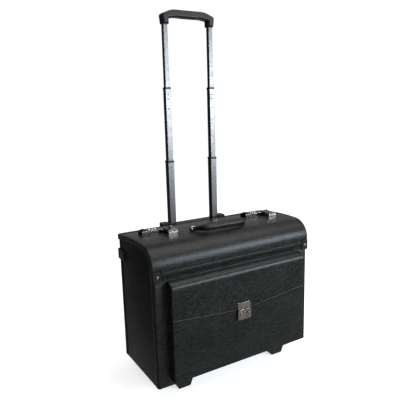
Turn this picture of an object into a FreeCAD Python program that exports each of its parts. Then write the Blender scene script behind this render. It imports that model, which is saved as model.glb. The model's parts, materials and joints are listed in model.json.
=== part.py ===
"""Rolling pilot flight case: a parametric assembly, in millimetres, +Z up.

The origin is on the floor, under the middle of the case.  X runs across the width, the front pocket
faces -Y and the trolley stands at +Y.  Every formula below gives its Y place from the front panel's
outer face; place() moves it to the middle of the case.
"""
import FreeCAD, Part
import Sketcher
import math
import os
import re

# Driving sizes: name, millimetres (or degrees, or a number), what it is.
SIZES = [
    ("body_width", 470, "outside width of the box"),
    ("body_depth", 210, "outside depth of the box"),
    ("crown_height", 353.5, "body bottom to the lid's highest line"),
    ("base_height", 36, "floor to the body bottom"),
    ("board", 6, "thickness of the side, front and back boards"),
    ("base_board", 8, "thickness of the bottom board"),
    # lids
    ("lid_proud", 3, "how far the front lid stands in front of the front board"),
    ("lid_wall", 4, "lid thickness"),
    ("lid_gap", 0.6, "lid to board clearance"),
    ("lid_drop", 69.5, "crown line down to the front lid's hinge line"),
    ("front_round", 50, "outer radius where the lid turns down to the front"),
    ("crown_radius", 730, "outer radius of the shallow crown"),
    ("crown_setback", 90, "front board to the crown's highest line"),
    ("seam_setback", 106, "front board to the seam between the lids"),
    ("seam_gap", 0.6, "gap between the lids"),
    ("lip_depth", 14, "depth of the lids' side lips"),
    ("lip_wall", 3, "thickness of the side lips"),
    ("lip_gap", 0.5, "side lip to side board clearance"),
    ("rear_edge_rise", 2, "rear hinge line above the rear lid's back edge"),
    # corner tabs
    ("tab_height", 27, "height of a corner tab"),
    ("tab_wall", 4, "thickness of a corner tab"),
    ("tab_round", 3, "corner rounding of a tab"),
    ("tab_front_run", 17, "front tab along the front"),
    ("tab_side_run", 12, "front tab along the side"),
    ("tab_rear_run", 40, "rear tab along the side"),
    ("tab_back_run", 20, "rear tab along the back"),
    ("tab_gap", 1.5, "front lid's notch above a front tab"),
    ("rear_tab_rise", 7, "rear tabs stand this much above the front ones"),
    ("rivet_radius", 3.8, "corner rivet head"),
    ("rivet_rise", 2, "corner rivet head height"),
    ("rivet_round", 1.5, "rounding of the rivet head"),
    # inside
    ("divider_wall", 8, "padded divider thickness"),
    ("divider_setback", 78, "front board to the divider"),
    ("divider_drop", 60, "crown line down to the divider's top"),
    ("divider_gap", 1.5, "divider to side boards"),
    ("divider_round", 3, "rounding of the divider's upper edge"),
    # front pocket
    ("pocket_inset", 33, "case side to pocket side"),
    ("pocket_depth", 24, "pocket depth in front of the front board"),
    ("pocket_wall", 3, "pocket wall thickness"),
    ("pocket_rise", 18, "body bottom to the pocket bottom"),
    ("pocket_top_gap", 15, "lid hinge line down to the pocket top"),
    ("mouth_drop", 42, "pocket top down to the pocket front's upper edge"),
    ("flap_wall", 2.4, "flap thickness"),
    ("flap_gap", 0.4, "flap to pocket front"),
    ("flap_roll", 4, "radius of the flap's rolled top edge"),
    ("flap_side_drop", 91, "pocket top down to the flap's side corners"),
    ("flap_centre_drop", 108, "pocket top down to the flap's lowest edge"),
    ("roll_gap", 0.6, "rolled edge to the fixed pocket top"),
    # pocket clasp
    ("clasp_width", 39, "clasp width"),
    ("clasp_height", 26, "clasp body height"),
    ("clasp_depth", 7, "clasp body depth"),
    ("clasp_round", 3, "clasp corner radius"),
    ("hasp_plate_height", 17, "plate on the flap, height"),
    ("hasp_plate_wall", 2.2, "plate on the flap, thickness"),
    ("clasp_plate_gap", 1, "flap plate to clasp body"),
    ("clasp_button_radius", 3.2, "push button radius"),
    ("clasp_button_spread", 22, "push button spacing"),
    ("clasp_button_proud", 2, "push button stands out"),
    ("clasp_button_depth", 5, "push button length inside the clasp"),
    ("clasp_button_round", 0.8, "push button edge rounding"),
    ("clasp_button_drop", 10.4, "clasp's upper edge down to the buttons"),
    ("key_radius", 4, "key cylinder radius"),
    ("key_proud", 0.6, "key cylinder stands out"),
    ("key_depth", 4.5, "key cylinder length inside the clasp"),
    ("key_slot_width", 1.2, "key slot width"),
    ("key_slot_height", 4.8, "key slot height"),
    ("key_slot_depth", 3, "key slot depth"),
    ("running_gap", 0.08, "radial clearance of turning and sliding fits"),
    # feet
    ("foot_spread", 302, "distance between the front feet"),
    ("foot_setback", 23, "front board to the feet"),
    ("foot_length", 45, "foot, front to back"),
    ("foot_top_width", 62, "foot width at the body"),
    ("foot_sole_width", 31, "foot width at the floor"),
    ("foot_round", 3, "rounding of the foot's lower edges"),
    # wheels
    ("wheel_spread", 330, "distance between the wheels"),
    ("wheel_radius", 29, "tyre radius"),
    ("wheel_width", 20, "tyre width"),
    ("tyre_wall", 7, "tyre thickness"),
    ("tyre_shoulder", 3, "chamfer of the tyre's edges"),
    ("hub_inset", 1.5, "hub side below the tyre side"),
    ("web_inset", 6, "hub web below the tyre side"),
    ("hub_wall", 3, "thickness of the hub's rim and boss"),
    ("axle_radius", 3, "axle radius"),
    ("axle_setback", 4, "axle behind the back board"),
    ("wheel_side_gap", 3, "tyre side to housing"),
    ("wheel_top_gap", 2, "tyre tread to housing"),
    ("housing_wall", 3, "wheel housing wall"),
    ("housing_back", 14, "housing behind the axle"),
    ("housing_skirt", 12, "housing below the axle"),
    # trolley
    ("tube_spread", 139, "distance between the trolley tubes"),
    ("tube_wall", 1.2, "trolley tube wall"),
    ("tube_gap", 0.3, "clearance between nested tubes"),
    ("tube_top_size", 12.5, "square of the thinnest tube"),
    ("tube_round", 1.2, "corner radius of the tubes"),
    ("pin_radius", 1.7, "lock pin hole radius in a stage's front"),
    ("pin_first", 14, "stage's top down to its first pin hole"),
    ("pin_second", 26.5, "stage's top down to its second pin hole"),
    ("pin_third", 52, "stage's top down to its third pin hole"),
    ("tube_overlap", 60, "length that stays inside the tube below"),
    ("lower_reach", 176, "lower stage, length outside when drawn out"),
    ("middle_reach", 193, "middle stage, length outside when drawn out"),
    ("upper_reach", 162, "upper stage, length outside when drawn out"),
    ("collar_height", 5, "collar on top of a stage"),
    ("collar_proud", 0.4, "collar outside its tube"),
    ("tube_foot", 14, "body bottom to the fixed tubes' lower ends"),
    ("bracket_height", 34, "top bracket height"),
    ("bracket_wall", 4.5, "bracket behind the tubes"),
    ("bracket_end", 22, "raised end of the top bracket"),
    ("bracket_end_rise", 6, "raised end above the bracket"),
    ("bracket_margin", 1, "tube side to the bracket's end piece"),
    ("bracket_round", 3, "rounding of the brackets' rear edges"),
    ("foot_bracket_rise", 8, "body bottom to the bottom bracket"),
    ("foot_bracket_height", 26, "bottom bracket height"),
    ("screw_radius", 4, "bracket screw head radius"),
    ("screw_head", 2, "bracket screw head height"),
    ("screw_slot", 1, "bracket screw slot, width and depth"),
    # trolley grip
    ("grip_width", 161, "trolley grip width"),
    ("grip_depth", 26, "trolley grip, front to back"),
    ("grip_bar", 22, "thickness of the grip's bar"),
    ("grip_leg", 15, "length of the grip's legs"),
    ("grip_leg_width", 20, "width of the grip's legs"),
    ("grip_shoulder_run", 30, "length of the grip's sloping shoulders"),
    ("grip_shoulder_drop", 12, "how far the grip's shoulders slope down"),
    ("grip_flare", 3, "the grip's legs are this much narrower at their ends"),
    ("grip_arch", 3, "the bar's underside is this much higher in its middle"),
    ("grip_arch_run", 20, "leg to the bar's level underside"),
    ("grip_round", 60, "rounding between the grip's shoulders and its top"),
    ("grip_corner", 7, "outer corner radius of the grip"),
    ("grip_edge", 5, "edge rounding of the grip"),
    ("grip_socket", 12, "depth of the tube sockets"),
    ("grip_button_length", 46, "release button length"),
    ("grip_button_width", 12, "release button width"),
    ("grip_button_height", 9, "release button height"),
    ("grip_button_proud", 1.2, "release button below the bar"),
    ("grip_button_travel", 3, "release button travel"),
    ("grip_button_round", 2, "release button edge rounding"),
    ("button_side_gap", 0.4, "release button to grip"),
    # top locks
    ("lock_length", 88, "lock length"),
    ("lock_width", 28, "lock width"),
    ("lock_height", 9, "lock height above the crown line"),
    ("lock_centre", 161, "case middle to the lock's middle"),
    ("lock_setback", 120, "front board to the lock's front"),
    ("lock_seat_gap", 0.05, "lock to lid"),
    ("dial_radius", 5, "dial radius"),
    ("dial_width", 5, "dial width"),
    ("dial_pitch", 8, "dial spacing"),
    ("dial_proud", 2, "dial above the lock"),
    ("dial_first", 24, "lock's end to the first dial's middle"),
    ("dial_shaft_radius", 1, "dial shaft radius"),
    ("dial_shaft_seat", 2, "dial shaft past the outer dials"),
    ("dial_side_gap", 0.3, "dial to slot side"),
    ("dial_floor_gap", 0.4, "dial to slot bottom"),
    ("notch_width", 0.8, "dial finger notch width"),
    ("notch_depth", 0.5, "dial finger notch depth"),
    ("slider_length", 9, "lock slider length"),
    ("slider_width", 15, "lock slider width"),
    ("slider_height", 3, "lock slider height"),
    ("slider_travel", 5, "lock slider travel"),
    ("slider_inset", 3, "lock's end to the slider"),
    ("slider_float", 0.2, "slider head above the lock"),
    ("groove_first", 1.5, "slider's end to its first groove"),
    ("groove_pitch", 2.4, "slider groove spacing"),
    ("groove_width", 1.2, "slider groove width"),
    ("groove_depth", 0.7, "slider groove depth"),
    ("stem_width", 5, "slider stem width"),
    ("stem_depth", 4, "slider stem depth"),
    ("stem_gap", 0.3, "slider stem to slot"),
    ("latch_width", 33, "latch plate width"),
    ("latch_step", 4.5, "lock's top is lower under the latch plate"),
    ("latch_wall", 2, "latch plate thickness"),
    ("latch_reach", 44, "latch plate, pivot to tip"),
    ("latch_barrel", 2.6, "latch barrel radius"),
    ("latch_pin", 1, "latch pin radius"),
    ("latch_ear", 4, "latch ear width"),
    ("latch_lip", 2.4, "latch lip, front to back"),
    ("latch_lip_drop", 1.2, "latch lip below the plate"),
    ("strike_length", 15, "strike plate, front to back"),
    ("strike_height", 6, "strike plate height above the crown line"),
    ("strike_seam_gap", 1, "strike plate to the seam"),
    # carry handle
    ("handle_spread", 148, "distance between the handle's posts"),
    ("handle_setback", 96, "front board to the handle's pivot"),
    ("handle_pivot_rise", 6.5, "pivot above the crown line"),
    ("handle_reach", 38, "pivot to the middle of the grip"),
    ("handle_radius", 9, "handle grip radius"),
    ("handle_tilt", 3.5, "how far the resting handle's middle is above its pivot"),
    ("handle_end_radius", 5.5, "handle radius at its ends"),
    ("ring_rod", 1.75, "ring rod radius"),
    ("ring_bar", 2.8, "square of the ring's side bars"),
    ("ring_width", 20, "ring width"),
    ("ring_length", 13, "ring length"),
    ("post_width", 10, "handle post width"),
    ("post_length", 15, "handle post length"),
    ("post_wall", 2, "handle post around the rod"),
    ("post_foot", 1.5, "handle post foot height"),
    ("handle_bow", 2, "the grip's middle stands this much further out"),
]

SIDES = {"left": -1, "right": 1}

doc = FreeCAD.newDocument("flight_case")
sheet = doc.addObject("Spreadsheet::Sheet", "Sizes")
for row, (alias, value, meaning) in enumerate(SIZES, start=1):
    sheet.set(f"A{row}", alias)
    sheet.set(f"B{row}", str(value))
    sheet.set(f"C{row}", meaning)
    sheet.setAlias(f"B{row}", alias)
doc.recompute()

# Lengths closer than this, in millimetres, count as equal.
NEAR = 1e-3
# Cutting tools reach this far past the piece they cut.
BEYOND = "1"

ALIAS = re.compile(r"\b(" + "|".join(alias for alias, value, meaning in SIZES) + r")\b")

# Places and sizes that several pieces share, as formulas of the driving sizes.
MIDDLE_Y = "(body_depth + axle_setback + wheel_radius - pocket_depth - clasp_depth - clasp_button_proud) / 2"
HALF = "(body_width / 2)"
CROWN_Z = "(base_height + crown_height)"
HINGE_Z = f"({CROWN_Z} - lid_drop)"
REAR_DROP = "(crown_radius - sqrt(crown_radius ^ 2 - (body_depth - crown_setback) ^ 2))"
REAR_EDGE_Z = f"({CROWN_Z} - {REAR_DROP})"
LID_CLEAR = "(lid_wall + lid_gap)"
POCKET_TOP = f"({HINGE_Z} - pocket_top_gap)"
POCKET_BOTTOM = "(base_height + pocket_rise)"
POCKET_HALF = f"({HALF} - pocket_inset)"
AXLE_Y = "(body_depth + axle_setback)"
HOUSING_WIDTH = "(wheel_width + 2 * wheel_side_gap + 2 * housing_wall)"
HOUSING_FRONT = f"({AXLE_Y} - wheel_radius - wheel_top_gap - housing_wall)"
HOUSING_TOP = "(2 * wheel_radius + wheel_top_gap + housing_wall)"
TUBE_MIDDLE = "(tube_top_size + 2 * (tube_wall + tube_gap))"
TUBE_LOWER = "(tube_top_size + 4 * (tube_wall + tube_gap))"
TUBE_FIXED = "(tube_top_size + 6 * (tube_wall + tube_gap))"
TUBE_Y = f"(body_depth + {TUBE_FIXED} / 2)"
TUBE_TOP = REAR_EDGE_Z
LOWER_TOP = f"({TUBE_TOP} + lower_reach)"
MIDDLE_TOP = f"({LOWER_TOP} + collar_height + middle_reach)"
GRIP_BOTTOM = f"({MIDDLE_TOP} + collar_height + upper_reach)"
LOCK_TOP = f"({CROWN_Z} + lock_height)"
LATCH_TOP = f"({LOCK_TOP} - latch_step)"
LATCH_Y = "(lock_setback + lock_width / 2)"
LATCH_Z = f"({LATCH_TOP} + latch_barrel + lid_gap)"
CLASP_TOP = f"({POCKET_TOP} - flap_centre_drop - clasp_plate_gap)"
CLASP_BUTTON_Z = f"({CLASP_TOP} - clasp_button_drop)"
FLAP_AXIS_Y = "(flap_roll - pocket_depth - flap_gap - flap_wall)"
FLAP_AXIS_Z = f"({POCKET_TOP} - flap_roll)"
HANDLE_Z = f"({CROWN_Z} + handle_pivot_rise)"


def size(alias):
    """The number in one cell of the sheet."""
    return float(sheet.get(alias))


def formula(text):
    """The text with the sheet's name before each size."""
    return ALIAS.sub(r"Sizes.\1", str(text))


def number(text):
    """A formula's value, for shapes that are made in code."""
    probe = doc.getObject("Probe") or doc.addObject("App::FeaturePython", "Probe")
    if not hasattr(probe, "Value"):
        probe.addProperty("App::PropertyFloat", "Value")
    probe.setExpression("Value", formula(text))
    probe.recompute()
    return probe.Value


def bind(piece, **formulas):
    """Bind properties to formulas of the sheet."""
    for prop, text in formulas.items():
        piece.setExpression(prop, formula(text))
    return piece


def place(piece, x="0", y="0", z="0"):
    """Bind a piece's place; y is measured from the front board's face."""
    piece.setExpression("Placement.Base.x", formula(x))
    piece.setExpression("Placement.Base.y", formula(f"{y} - {MIDDLE_Y}"))
    piece.setExpression("Placement.Base.z", formula(z))
    return piece


def turn(piece, axis, degrees):
    piece.Placement.Rotation = FreeCAD.Rotation(FreeCAD.Vector(*axis), degrees)
    return piece


def block(name, low, sides):
    """A box from its low corner and its three sides."""
    piece = doc.addObject("Part::Box", name)
    bind(piece, Length=sides[0], Width=sides[1], Height=sides[2])
    return place(piece, *low)


def rod(name, radius, length, start, along="Z"):
    """A cylinder from the middle of its low end, along X, Y or Z."""
    piece = doc.addObject("Part::Cylinder", name)
    if along == "X":
        turn(piece, (0, 1, 0), 90)
    if along == "Y":
        turn(piece, (1, 0, 0), -90)
    bind(piece, Radius=radius, Height=length)
    return place(piece, *start)


def cut(name, base, tool):
    piece = doc.addObject("Part::Cut", name)
    piece.Base = base
    piece.Tool = tool
    return piece


def fuse(name, pieces):
    """One solid from several; a single piece stays as it is."""
    if len(pieces) == 1:
        return pieces[0]
    piece = doc.addObject("Part::MultiFuse", name)
    piece.Shapes = pieces
    return piece


def group(name, pieces):
    """Separate solids that share one node."""
    piece = doc.addObject("Part::Compound", name)
    piece.Links = pieces
    return piece


def rounded(name, base, radius, choose):
    """Round the edges that choose(edge, box of the base) picks."""
    doc.recompute()
    box = base.Shape.BoundBox
    picked = [i for i, edge in enumerate(base.Shape.Edges, start=1) if choose(edge, box)]
    piece = doc.addObject("Part::Fillet", name)
    piece.Base = base
    piece.Edges = [(i, radius, radius) for i in picked]
    return piece


def runs_along(edge, axis):
    """True for a straight edge along the axis."""
    ends = edge.Vertexes
    if len(ends) != 2 or not isinstance(edge.Curve, Part.Line):
        return False
    run = ends[1].Point - ends[0].Point
    return abs(abs(run[axis]) - run.Length) < NEAR


def new_sketch(body, plane):
    """An empty sketch on one of the body's own origin planes."""
    sketch = body.newObject("Sketcher::SketchObject", body.Name + "_sketch")
    face = next(f for f in body.Origin.OriginFeatures if f.Role == plane)
    sketch.AttachmentSupport = [(face, "")]
    sketch.MapMode = "FlatFace"
    return sketch


def outline(sketch, corners):
    """A closed outline of straight lines, each corner held to formulas (u, v)."""
    points = [FreeCAD.Vector(number(u), number(v), 0) for u, v in corners]
    first = sketch.GeometryCount
    count = len(points)
    for i in range(count):
        sketch.addGeometry(Part.LineSegment(points[i], points[(i + 1) % count]), False)
    for i in range(count):
        here = first + i
        after = first + (i + 1) % count
        sketch.addConstraint(Sketcher.Constraint("Coincident", here, 2, after, 1))
    for i, (u, v) in enumerate(corners):
        for kind, text, value in (("DistanceX", u, points[i].x), ("DistanceY", v, points[i].y)):
            index = sketch.addConstraint(Sketcher.Constraint(kind, -1, 1, first + i, 1, value))
            sketch.setExpression(f"Constraints[{index}]", formula(text))
    return sketch


def circle(sketch, radius, high="0"):
    """A circle whose middle is above the sketch's origin, by default on it."""
    middle = FreeCAD.Vector(0, number(high), 0)
    value = number(radius)
    index = sketch.addGeometry(Part.Circle(middle, FreeCAD.Vector(0, 0, 1), value), False)
    sketch.addConstraint(Sketcher.Constraint("DistanceX", -1, 1, index, 3, 0))
    rise = sketch.addConstraint(Sketcher.Constraint("DistanceY", -1, 1, index, 3, middle.y))
    sketch.setExpression(f"Constraints[{rise}]", formula(high))
    held = sketch.addConstraint(Sketcher.Constraint("Radius", index, value))
    sketch.setExpression(f"Constraints[{held}]", formula(radius))
    return sketch


def rectangle(sketch, left, low, width, height):
    right = f"{left} + {width}"
    high = f"{low} + {height}"
    return outline(sketch, [(left, low), (right, low), (right, high), (left, high)])


def body_of(name):
    return doc.addObject("PartDesign::Body", name)


def pad(body, sketch, length, both_ways=False, reverse=False):
    """Pad a sketch by a formula's length."""
    feature = body.newObject("PartDesign::Pad", body.Name + "_pad")
    feature.Profile = sketch
    feature.Midplane = both_ways
    feature.Reversed = reverse
    bind(feature, Length=length)
    return feature


def pocket(body, sketch, length, both_ways=False, reverse=False):
    """Pocket a sketch; the volume has to go down."""
    doc.recompute()
    before = body.Shape.Volume
    feature = body.newObject("PartDesign::Pocket", body.Name + "_pocket")
    feature.Profile = sketch
    feature.Midplane = both_ways
    feature.Reversed = reverse
    bind(feature, Length=length)
    doc.recompute()
    if body.Shape.Volume >= before:
        raise ValueError(body.Name + ": a pocket cut nothing")
    return feature


def soften(body, radius, choose):
    """Round the edges of the body that choose(edge, box) picks."""
    doc.recompute()
    tip = body.Tip
    box = tip.Shape.BoundBox
    names = [f"Edge{i}" for i, edge in enumerate(tip.Shape.Edges, start=1) if choose(edge, box)]
    feature = body.newObject("PartDesign::Fillet", body.Name + "_round")
    feature.Base = (tip, names)
    feature.Radius = radius
    return feature


def made(name, shape):
    """A sub-part whose shape is made in code from the sheet's numbers."""
    piece = doc.addObject("Part::Feature", name)
    piece.Shape = shape
    piece.Placement.Base.y = -number(MIDDLE_Y)
    return piece


# ---------------------------------------------------------------- lid curve

def crown_centre():
    return size("crown_setback"), number(CROWN_Z) - size("crown_radius")


def front_centre():
    """Centre of the front rounding, which touches the front plane and the crown."""
    y = size("front_round") - size("lid_proud")
    crown_y, crown_z = crown_centre()
    reach = size("crown_radius") - size("front_round")
    return y, crown_z + math.sqrt(reach ** 2 - (y - crown_y) ** 2)


def at(y, z):
    return FreeCAD.Vector(0, y, z)


def on_circle(centre, radius, angle):
    return at(centre[0] + radius * math.cos(angle), centre[1] + radius * math.sin(angle))


def arc(centre, radius, start, end):
    middle = on_circle(centre, radius, (start + end) / 2)
    return Part.Arc(on_circle(centre, radius, start), middle, on_circle(centre, radius, end)).toShape()


def lid_curve(inset, start, end):
    """Edges of the lid's section, inset from its outside.

    start is the height where the front part begins, or None for a curve that begins on the crown;
    end is the Y place where the curve stops, and for a start of None a pair of Y places.
    """
    crown = crown_centre()
    front = front_centre()
    big = size("crown_radius") - inset
    small = size("front_round") - inset
    join = math.atan2(front[1] - crown[1], front[0] - crown[0])
    if start is None:
        first, last = end
        angles = [math.acos((y - crown[0]) / big) for y in (first, last)]
        return [arc(crown, big, *angles)]
    front_y = front[0] - small
    stop = math.acos((end - crown[0]) / big)
    edges = [Part.makeLine(at(front_y, start), at(front_y, front[1]))]
    edges.append(arc(front, small, math.pi, join))
    edges.append(arc(crown, big, join, stop))
    return edges


def ends_of(edges):
    wire = Part.Wire(edges)
    return wire.OrderedVertexes[0].Point, wire.OrderedVertexes[-1].Point


def band(depth, start, end, low_x, width):
    """A strip under the lid's outside, depth thick, from low_x over a width."""
    outer = lid_curve(0, start, end)
    inner = lid_curve(depth, start, end)
    outer_ends = ends_of(outer)
    inner_ends = ends_of(inner)
    closing = [Part.makeLine(a, b) for a, b in zip(outer_ends, inner_ends)]
    face = Part.Face(Part.Wire(Part.__sortEdges__(outer + inner + closing)))
    face.translate(FreeCAD.Vector(low_x, 0, 0))
    return face.extrude(FreeCAD.Vector(width, 0, 0))


def lid_half_width():
    return size("body_width") / 2 + size("lip_gap") + size("lip_wall")


def lid_shell(start, end, lip_start):
    """A lid: its skin with a lip at each side."""
    half = lid_half_width()
    shell = band(size("lid_wall"), start, end, -half, 2 * half)
    for low_x in (-half, half - size("lip_wall")):
        shell = shell.fuse(band(size("lip_depth"), lip_start, end, low_x, size("lip_wall")))
    return shell.removeSplitter()


def make_front_lid():
    hinge = number(HINGE_Z)
    notch_top = hinge + size("tab_height") / 2 + size("tab_gap")
    end = size("seam_setback") - size("seam_gap") / 2
    shell = lid_shell(hinge, end, notch_top)
    run = size("tab_front_run") + size("tab_gap")
    half = lid_half_width()
    body_half = size("body_width") / 2
    deep = 2 * size("front_round")
    for low_x, wide in ((-half, half - body_half + run), (body_half - run, half - body_half + run)):
        corner = FreeCAD.Vector(low_x, -deep / 2, hinge)
        shell = shell.cut(Part.makeBox(wide, deep, notch_top - hinge, corner))
    return made("front_lid", shell)


def make_rear_lid():
    start = size("seam_setback") + size("seam_gap") / 2
    return made("rear_lid", lid_shell(None, (start, size("body_depth")), None))


def make_side_panels():
    """Side boards, whose upper edge follows the lids."""
    inset = number(LID_CLEAR)
    hinge = number(HINGE_Z)
    low = number("base_height + base_board")
    depth = size("body_depth")
    top = lid_curve(inset, hinge, depth)
    first, last = ends_of(top)
    corners = [last, at(depth, low), at(0, low), at(0, hinge - size("lid_gap"))]
    corners += [at(first.y, hinge - size("lid_gap")), first]
    lines = [Part.makeLine(a, b) for a, b in zip(corners, corners[1:])]
    face = Part.Face(Part.Wire(Part.__sortEdges__(top + lines)))
    board = size("board")
    for side, sign in SIDES.items():
        low_x = sign * size("body_width") / 2 - (board if sign > 0 else 0)
        moved = face.copy()
        moved.translate(FreeCAD.Vector(low_x, 0, 0))
        made(f"side_panel_{side}", moved.extrude(FreeCAD.Vector(board, 0, 0)))


# ---------------------------------------------------------------- box

def make_bottom_panel():
    body = body_of("bottom_panel")
    sketch = rectangle(new_sketch(body, "XY_Plane"), f"-{HALF}", "0", "body_width", "body_depth")
    pad(body, sketch, "base_board")
    for sign in SIDES.values():
        left = f"{sign} * wheel_spread / 2 - {HOUSING_WIDTH} / 2"
        notch = rectangle(new_sketch(body, "XY_Plane"), left, HOUSING_FRONT, HOUSING_WIDTH, "body_depth")
        pocket(body, notch, "2 * base_board", both_ways=True)
    place(body, z="base_height")


def make_front_panel():
    body = body_of("front_panel")
    inner = f"({HALF} - board)"
    height = f"{HINGE_Z} - lid_gap - base_height - base_board"
    sketch = rectangle(new_sketch(body, "XY_Plane"), f"-{inner}", "0", f"2 * {inner}", "board")
    pad(body, sketch, height)
    place(body, z="base_height + base_board")


def make_back_panel():
    """Back board, with a notch over each wheel housing."""
    body = body_of("back_panel")
    inner = f"({HALF} - board)"
    low = "base_height + base_board"
    top = f"{REAR_EDGE_Z} - {LID_CLEAR} - rear_edge_rise"
    corners = [(f"-{inner}", top), (f"-{inner}", low)]
    for sign in SIDES.values():
        left = f"{sign} * wheel_spread / 2 - {HOUSING_WIDTH} / 2"
        right = f"{sign} * wheel_spread / 2 + {HOUSING_WIDTH} / 2"
        corners += [(left, low), (left, HOUSING_TOP), (right, HOUSING_TOP), (right, low)]
    corners += [(inner, low), (inner, top)]
    pad(body, outline(new_sketch(body, "XZ_Plane"), corners), "board")
    place(body, y="body_depth")


def make_divider():
    """Padded board that parts the inside in two."""
    width = "(body_width - 2 * board - 2 * divider_gap)"
    low = ("-" + width + " / 2", "divider_setback", "base_height + base_board")
    height = "crown_height - divider_drop - base_board"
    core = block("divider_core", low, (width, "divider_wall", height))
    upper = lambda edge, box: runs_along(edge, 0) and edge.CenterOfMass.z > box.Center.z
    rounded("divider", core, size("divider_round"), upper)


def make_corner_tabs():
    tabs = []
    rivets = []
    rise = "tab_wall"
    for side, sign in SIDES.items():
        for end, run_x, run_y in (("front", "tab_front_run", "tab_side_run"),
                                  ("rear", "tab_back_run", "tab_rear_run")):
            front = end == "front"
            low_z = f"{HINGE_Z} - tab_height / 2" + ("" if front else " + rear_tab_rise")
            plate_y = f"-{rise}" if front else "body_depth"
            plate_x = f"{HALF} - {run_x}" if sign > 0 else f"-{HALF}"
            side_x = HALF if sign > 0 else f"-{HALF} - {rise}"
            side_y = f"-{rise}" if front else f"body_depth - {run_y}"
            side_run = f"{run_y} + {rise}"
            name = f"tab_{end}_{side}"
            plate = block(name + "_plate", (plate_x, plate_y, low_z), (run_x, rise, "tab_height"))
            flank = block(name + "_flank", (side_x, side_y, low_z), (rise, side_run, "tab_height"))
            tabs.append(round_tab(name, fuse(name + "_sharp", [plate, flank]), sign, front))
            rivets.append(make_corner_rivet(name, sign, front, low_z))
    group("corner_tabs", tabs)
    group("corner_rivets", rivets)


def round_tab(name, sharp, sign, front):
    """Round the two free ends of a tab and the corner it goes round."""
    def picked(edge, box):
        middle = edge.CenterOfMass
        from_corner_x = abs(middle.x - (box.XMax if sign > 0 else box.XMin))
        from_corner_y = abs(middle.y - (box.YMin if front else box.YMax))
        plate_end = runs_along(edge, 1) and from_corner_x > box.XLength - NEAR
        flank_end = runs_along(edge, 0) and from_corner_y > box.YLength - NEAR
        corner = runs_along(edge, 2) and from_corner_x + from_corner_y < NEAR
        return plate_end or flank_end or corner
    return rounded(name, sharp, size("tab_round"), picked)


def make_corner_rivet(name, sign, front, low_z):
    """A domed head on the face of a tab."""
    middle_z = f"{low_z} + tab_height / 2"
    if front:
        start = (f"{sign} * ({HALF} - tab_front_run / 2)", "-tab_wall - rivet_rise", middle_z)
        head = rod(name + "_head", "rivet_radius", "rivet_rise", start, along="Y")
        outer = lambda edge, box: abs(edge.CenterOfMass.y - box.YMin) < NEAR
    else:
        low_x = f"{HALF} + tab_wall" if sign > 0 else f"-{HALF} - tab_wall - rivet_rise"
        start = (low_x, "body_depth - tab_rear_run / 2", middle_z)
        head = rod(name + "_head", "rivet_radius", "rivet_rise", start, along="X")
        outer = lambda edge, box: abs(edge.CenterOfMass.x - (box.XMax if sign > 0 else box.XMin)) < NEAR
    return rounded(name + "_rivet", head, size("rivet_round"), outer)


# ---------------------------------------------------------------- front pocket

def make_pocket():
    """Box pocket on the front board: base, sides, front and a fixed top strip."""
    width = f"(2 * {POCKET_HALF})"
    inner = f"({POCKET_HALF} - pocket_wall)"
    height = f"({POCKET_TOP} - {POCKET_BOTTOM})"
    base_z = POCKET_BOTTOM
    wall_z = f"({base_z} + pocket_wall)"
    base_low = (f"-{POCKET_HALF}", "-pocket_depth", base_z)
    block("pocket_base", base_low, (width, "pocket_depth", "pocket_wall"))
    strip = f"({FLAP_AXIS_Y} + flap_roll + roll_gap)"
    top_z = f"{POCKET_TOP} - pocket_wall"
    block("pocket_top", (f"-{POCKET_HALF}", strip, top_z), (width, f"-1 * {strip}", "pocket_wall"))
    front_height = f"{height} - pocket_wall - mouth_drop"
    low = (f"-{inner}", "-pocket_depth", wall_z)
    block("pocket_front", low, (f"2 * {inner}", "pocket_wall", front_height))
    for side, sign in SIDES.items():
        make_pocket_side(side, sign, inner, wall_z, strip)


def make_pocket_side(side, sign, inner, wall_z, strip):
    """Pocket end wall, lower in front so that the flap's rolled edge turns above it."""
    body = body_of(f"pocket_side_{side}")
    top = f"{POCKET_TOP} - pocket_wall"
    step = f"{FLAP_AXIS_Z} - flap_roll - roll_gap"
    corners = [("-pocket_depth", wall_z), ("0", wall_z), ("0", top), (strip, top), (strip, step),
               ("-pocket_depth", step)]
    pad(body, outline(new_sketch(body, "YZ_Plane"), corners), "pocket_wall")
    place(body, x=inner if sign > 0 else f"-{POCKET_HALF}")


def make_pocket_flap():
    """Flap with a shallow V edge, turning about its rolled top edge."""
    body = body_of("pocket_flap")
    side_z = "(flap_roll - flap_side_drop)"
    centre_z = "(flap_roll - flap_centre_drop)"
    clasp = "clasp_width / 2"
    corners = [(f"-{POCKET_HALF}", "0"), (f"-{POCKET_HALF}", side_z), (f"-{clasp}", centre_z),
               (clasp, centre_z), (POCKET_HALF, side_z), (POCKET_HALF, "0")]
    sheet_sketch = outline(new_sketch(body, "XZ_Plane"), corners)
    sheet_sketch.AttachmentOffset = FreeCAD.Placement()
    sheet_sketch.setExpression("AttachmentOffset.Base.z", formula("flap_roll - flap_wall"))
    pad(body, sheet_sketch, "flap_wall")
    pad(body, circle(new_sketch(body, "YZ_Plane"), "flap_roll"), f"2 * {POCKET_HALF}", both_ways=True)
    place(body, y=FLAP_AXIS_Y, z=FLAP_AXIS_Z)


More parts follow.
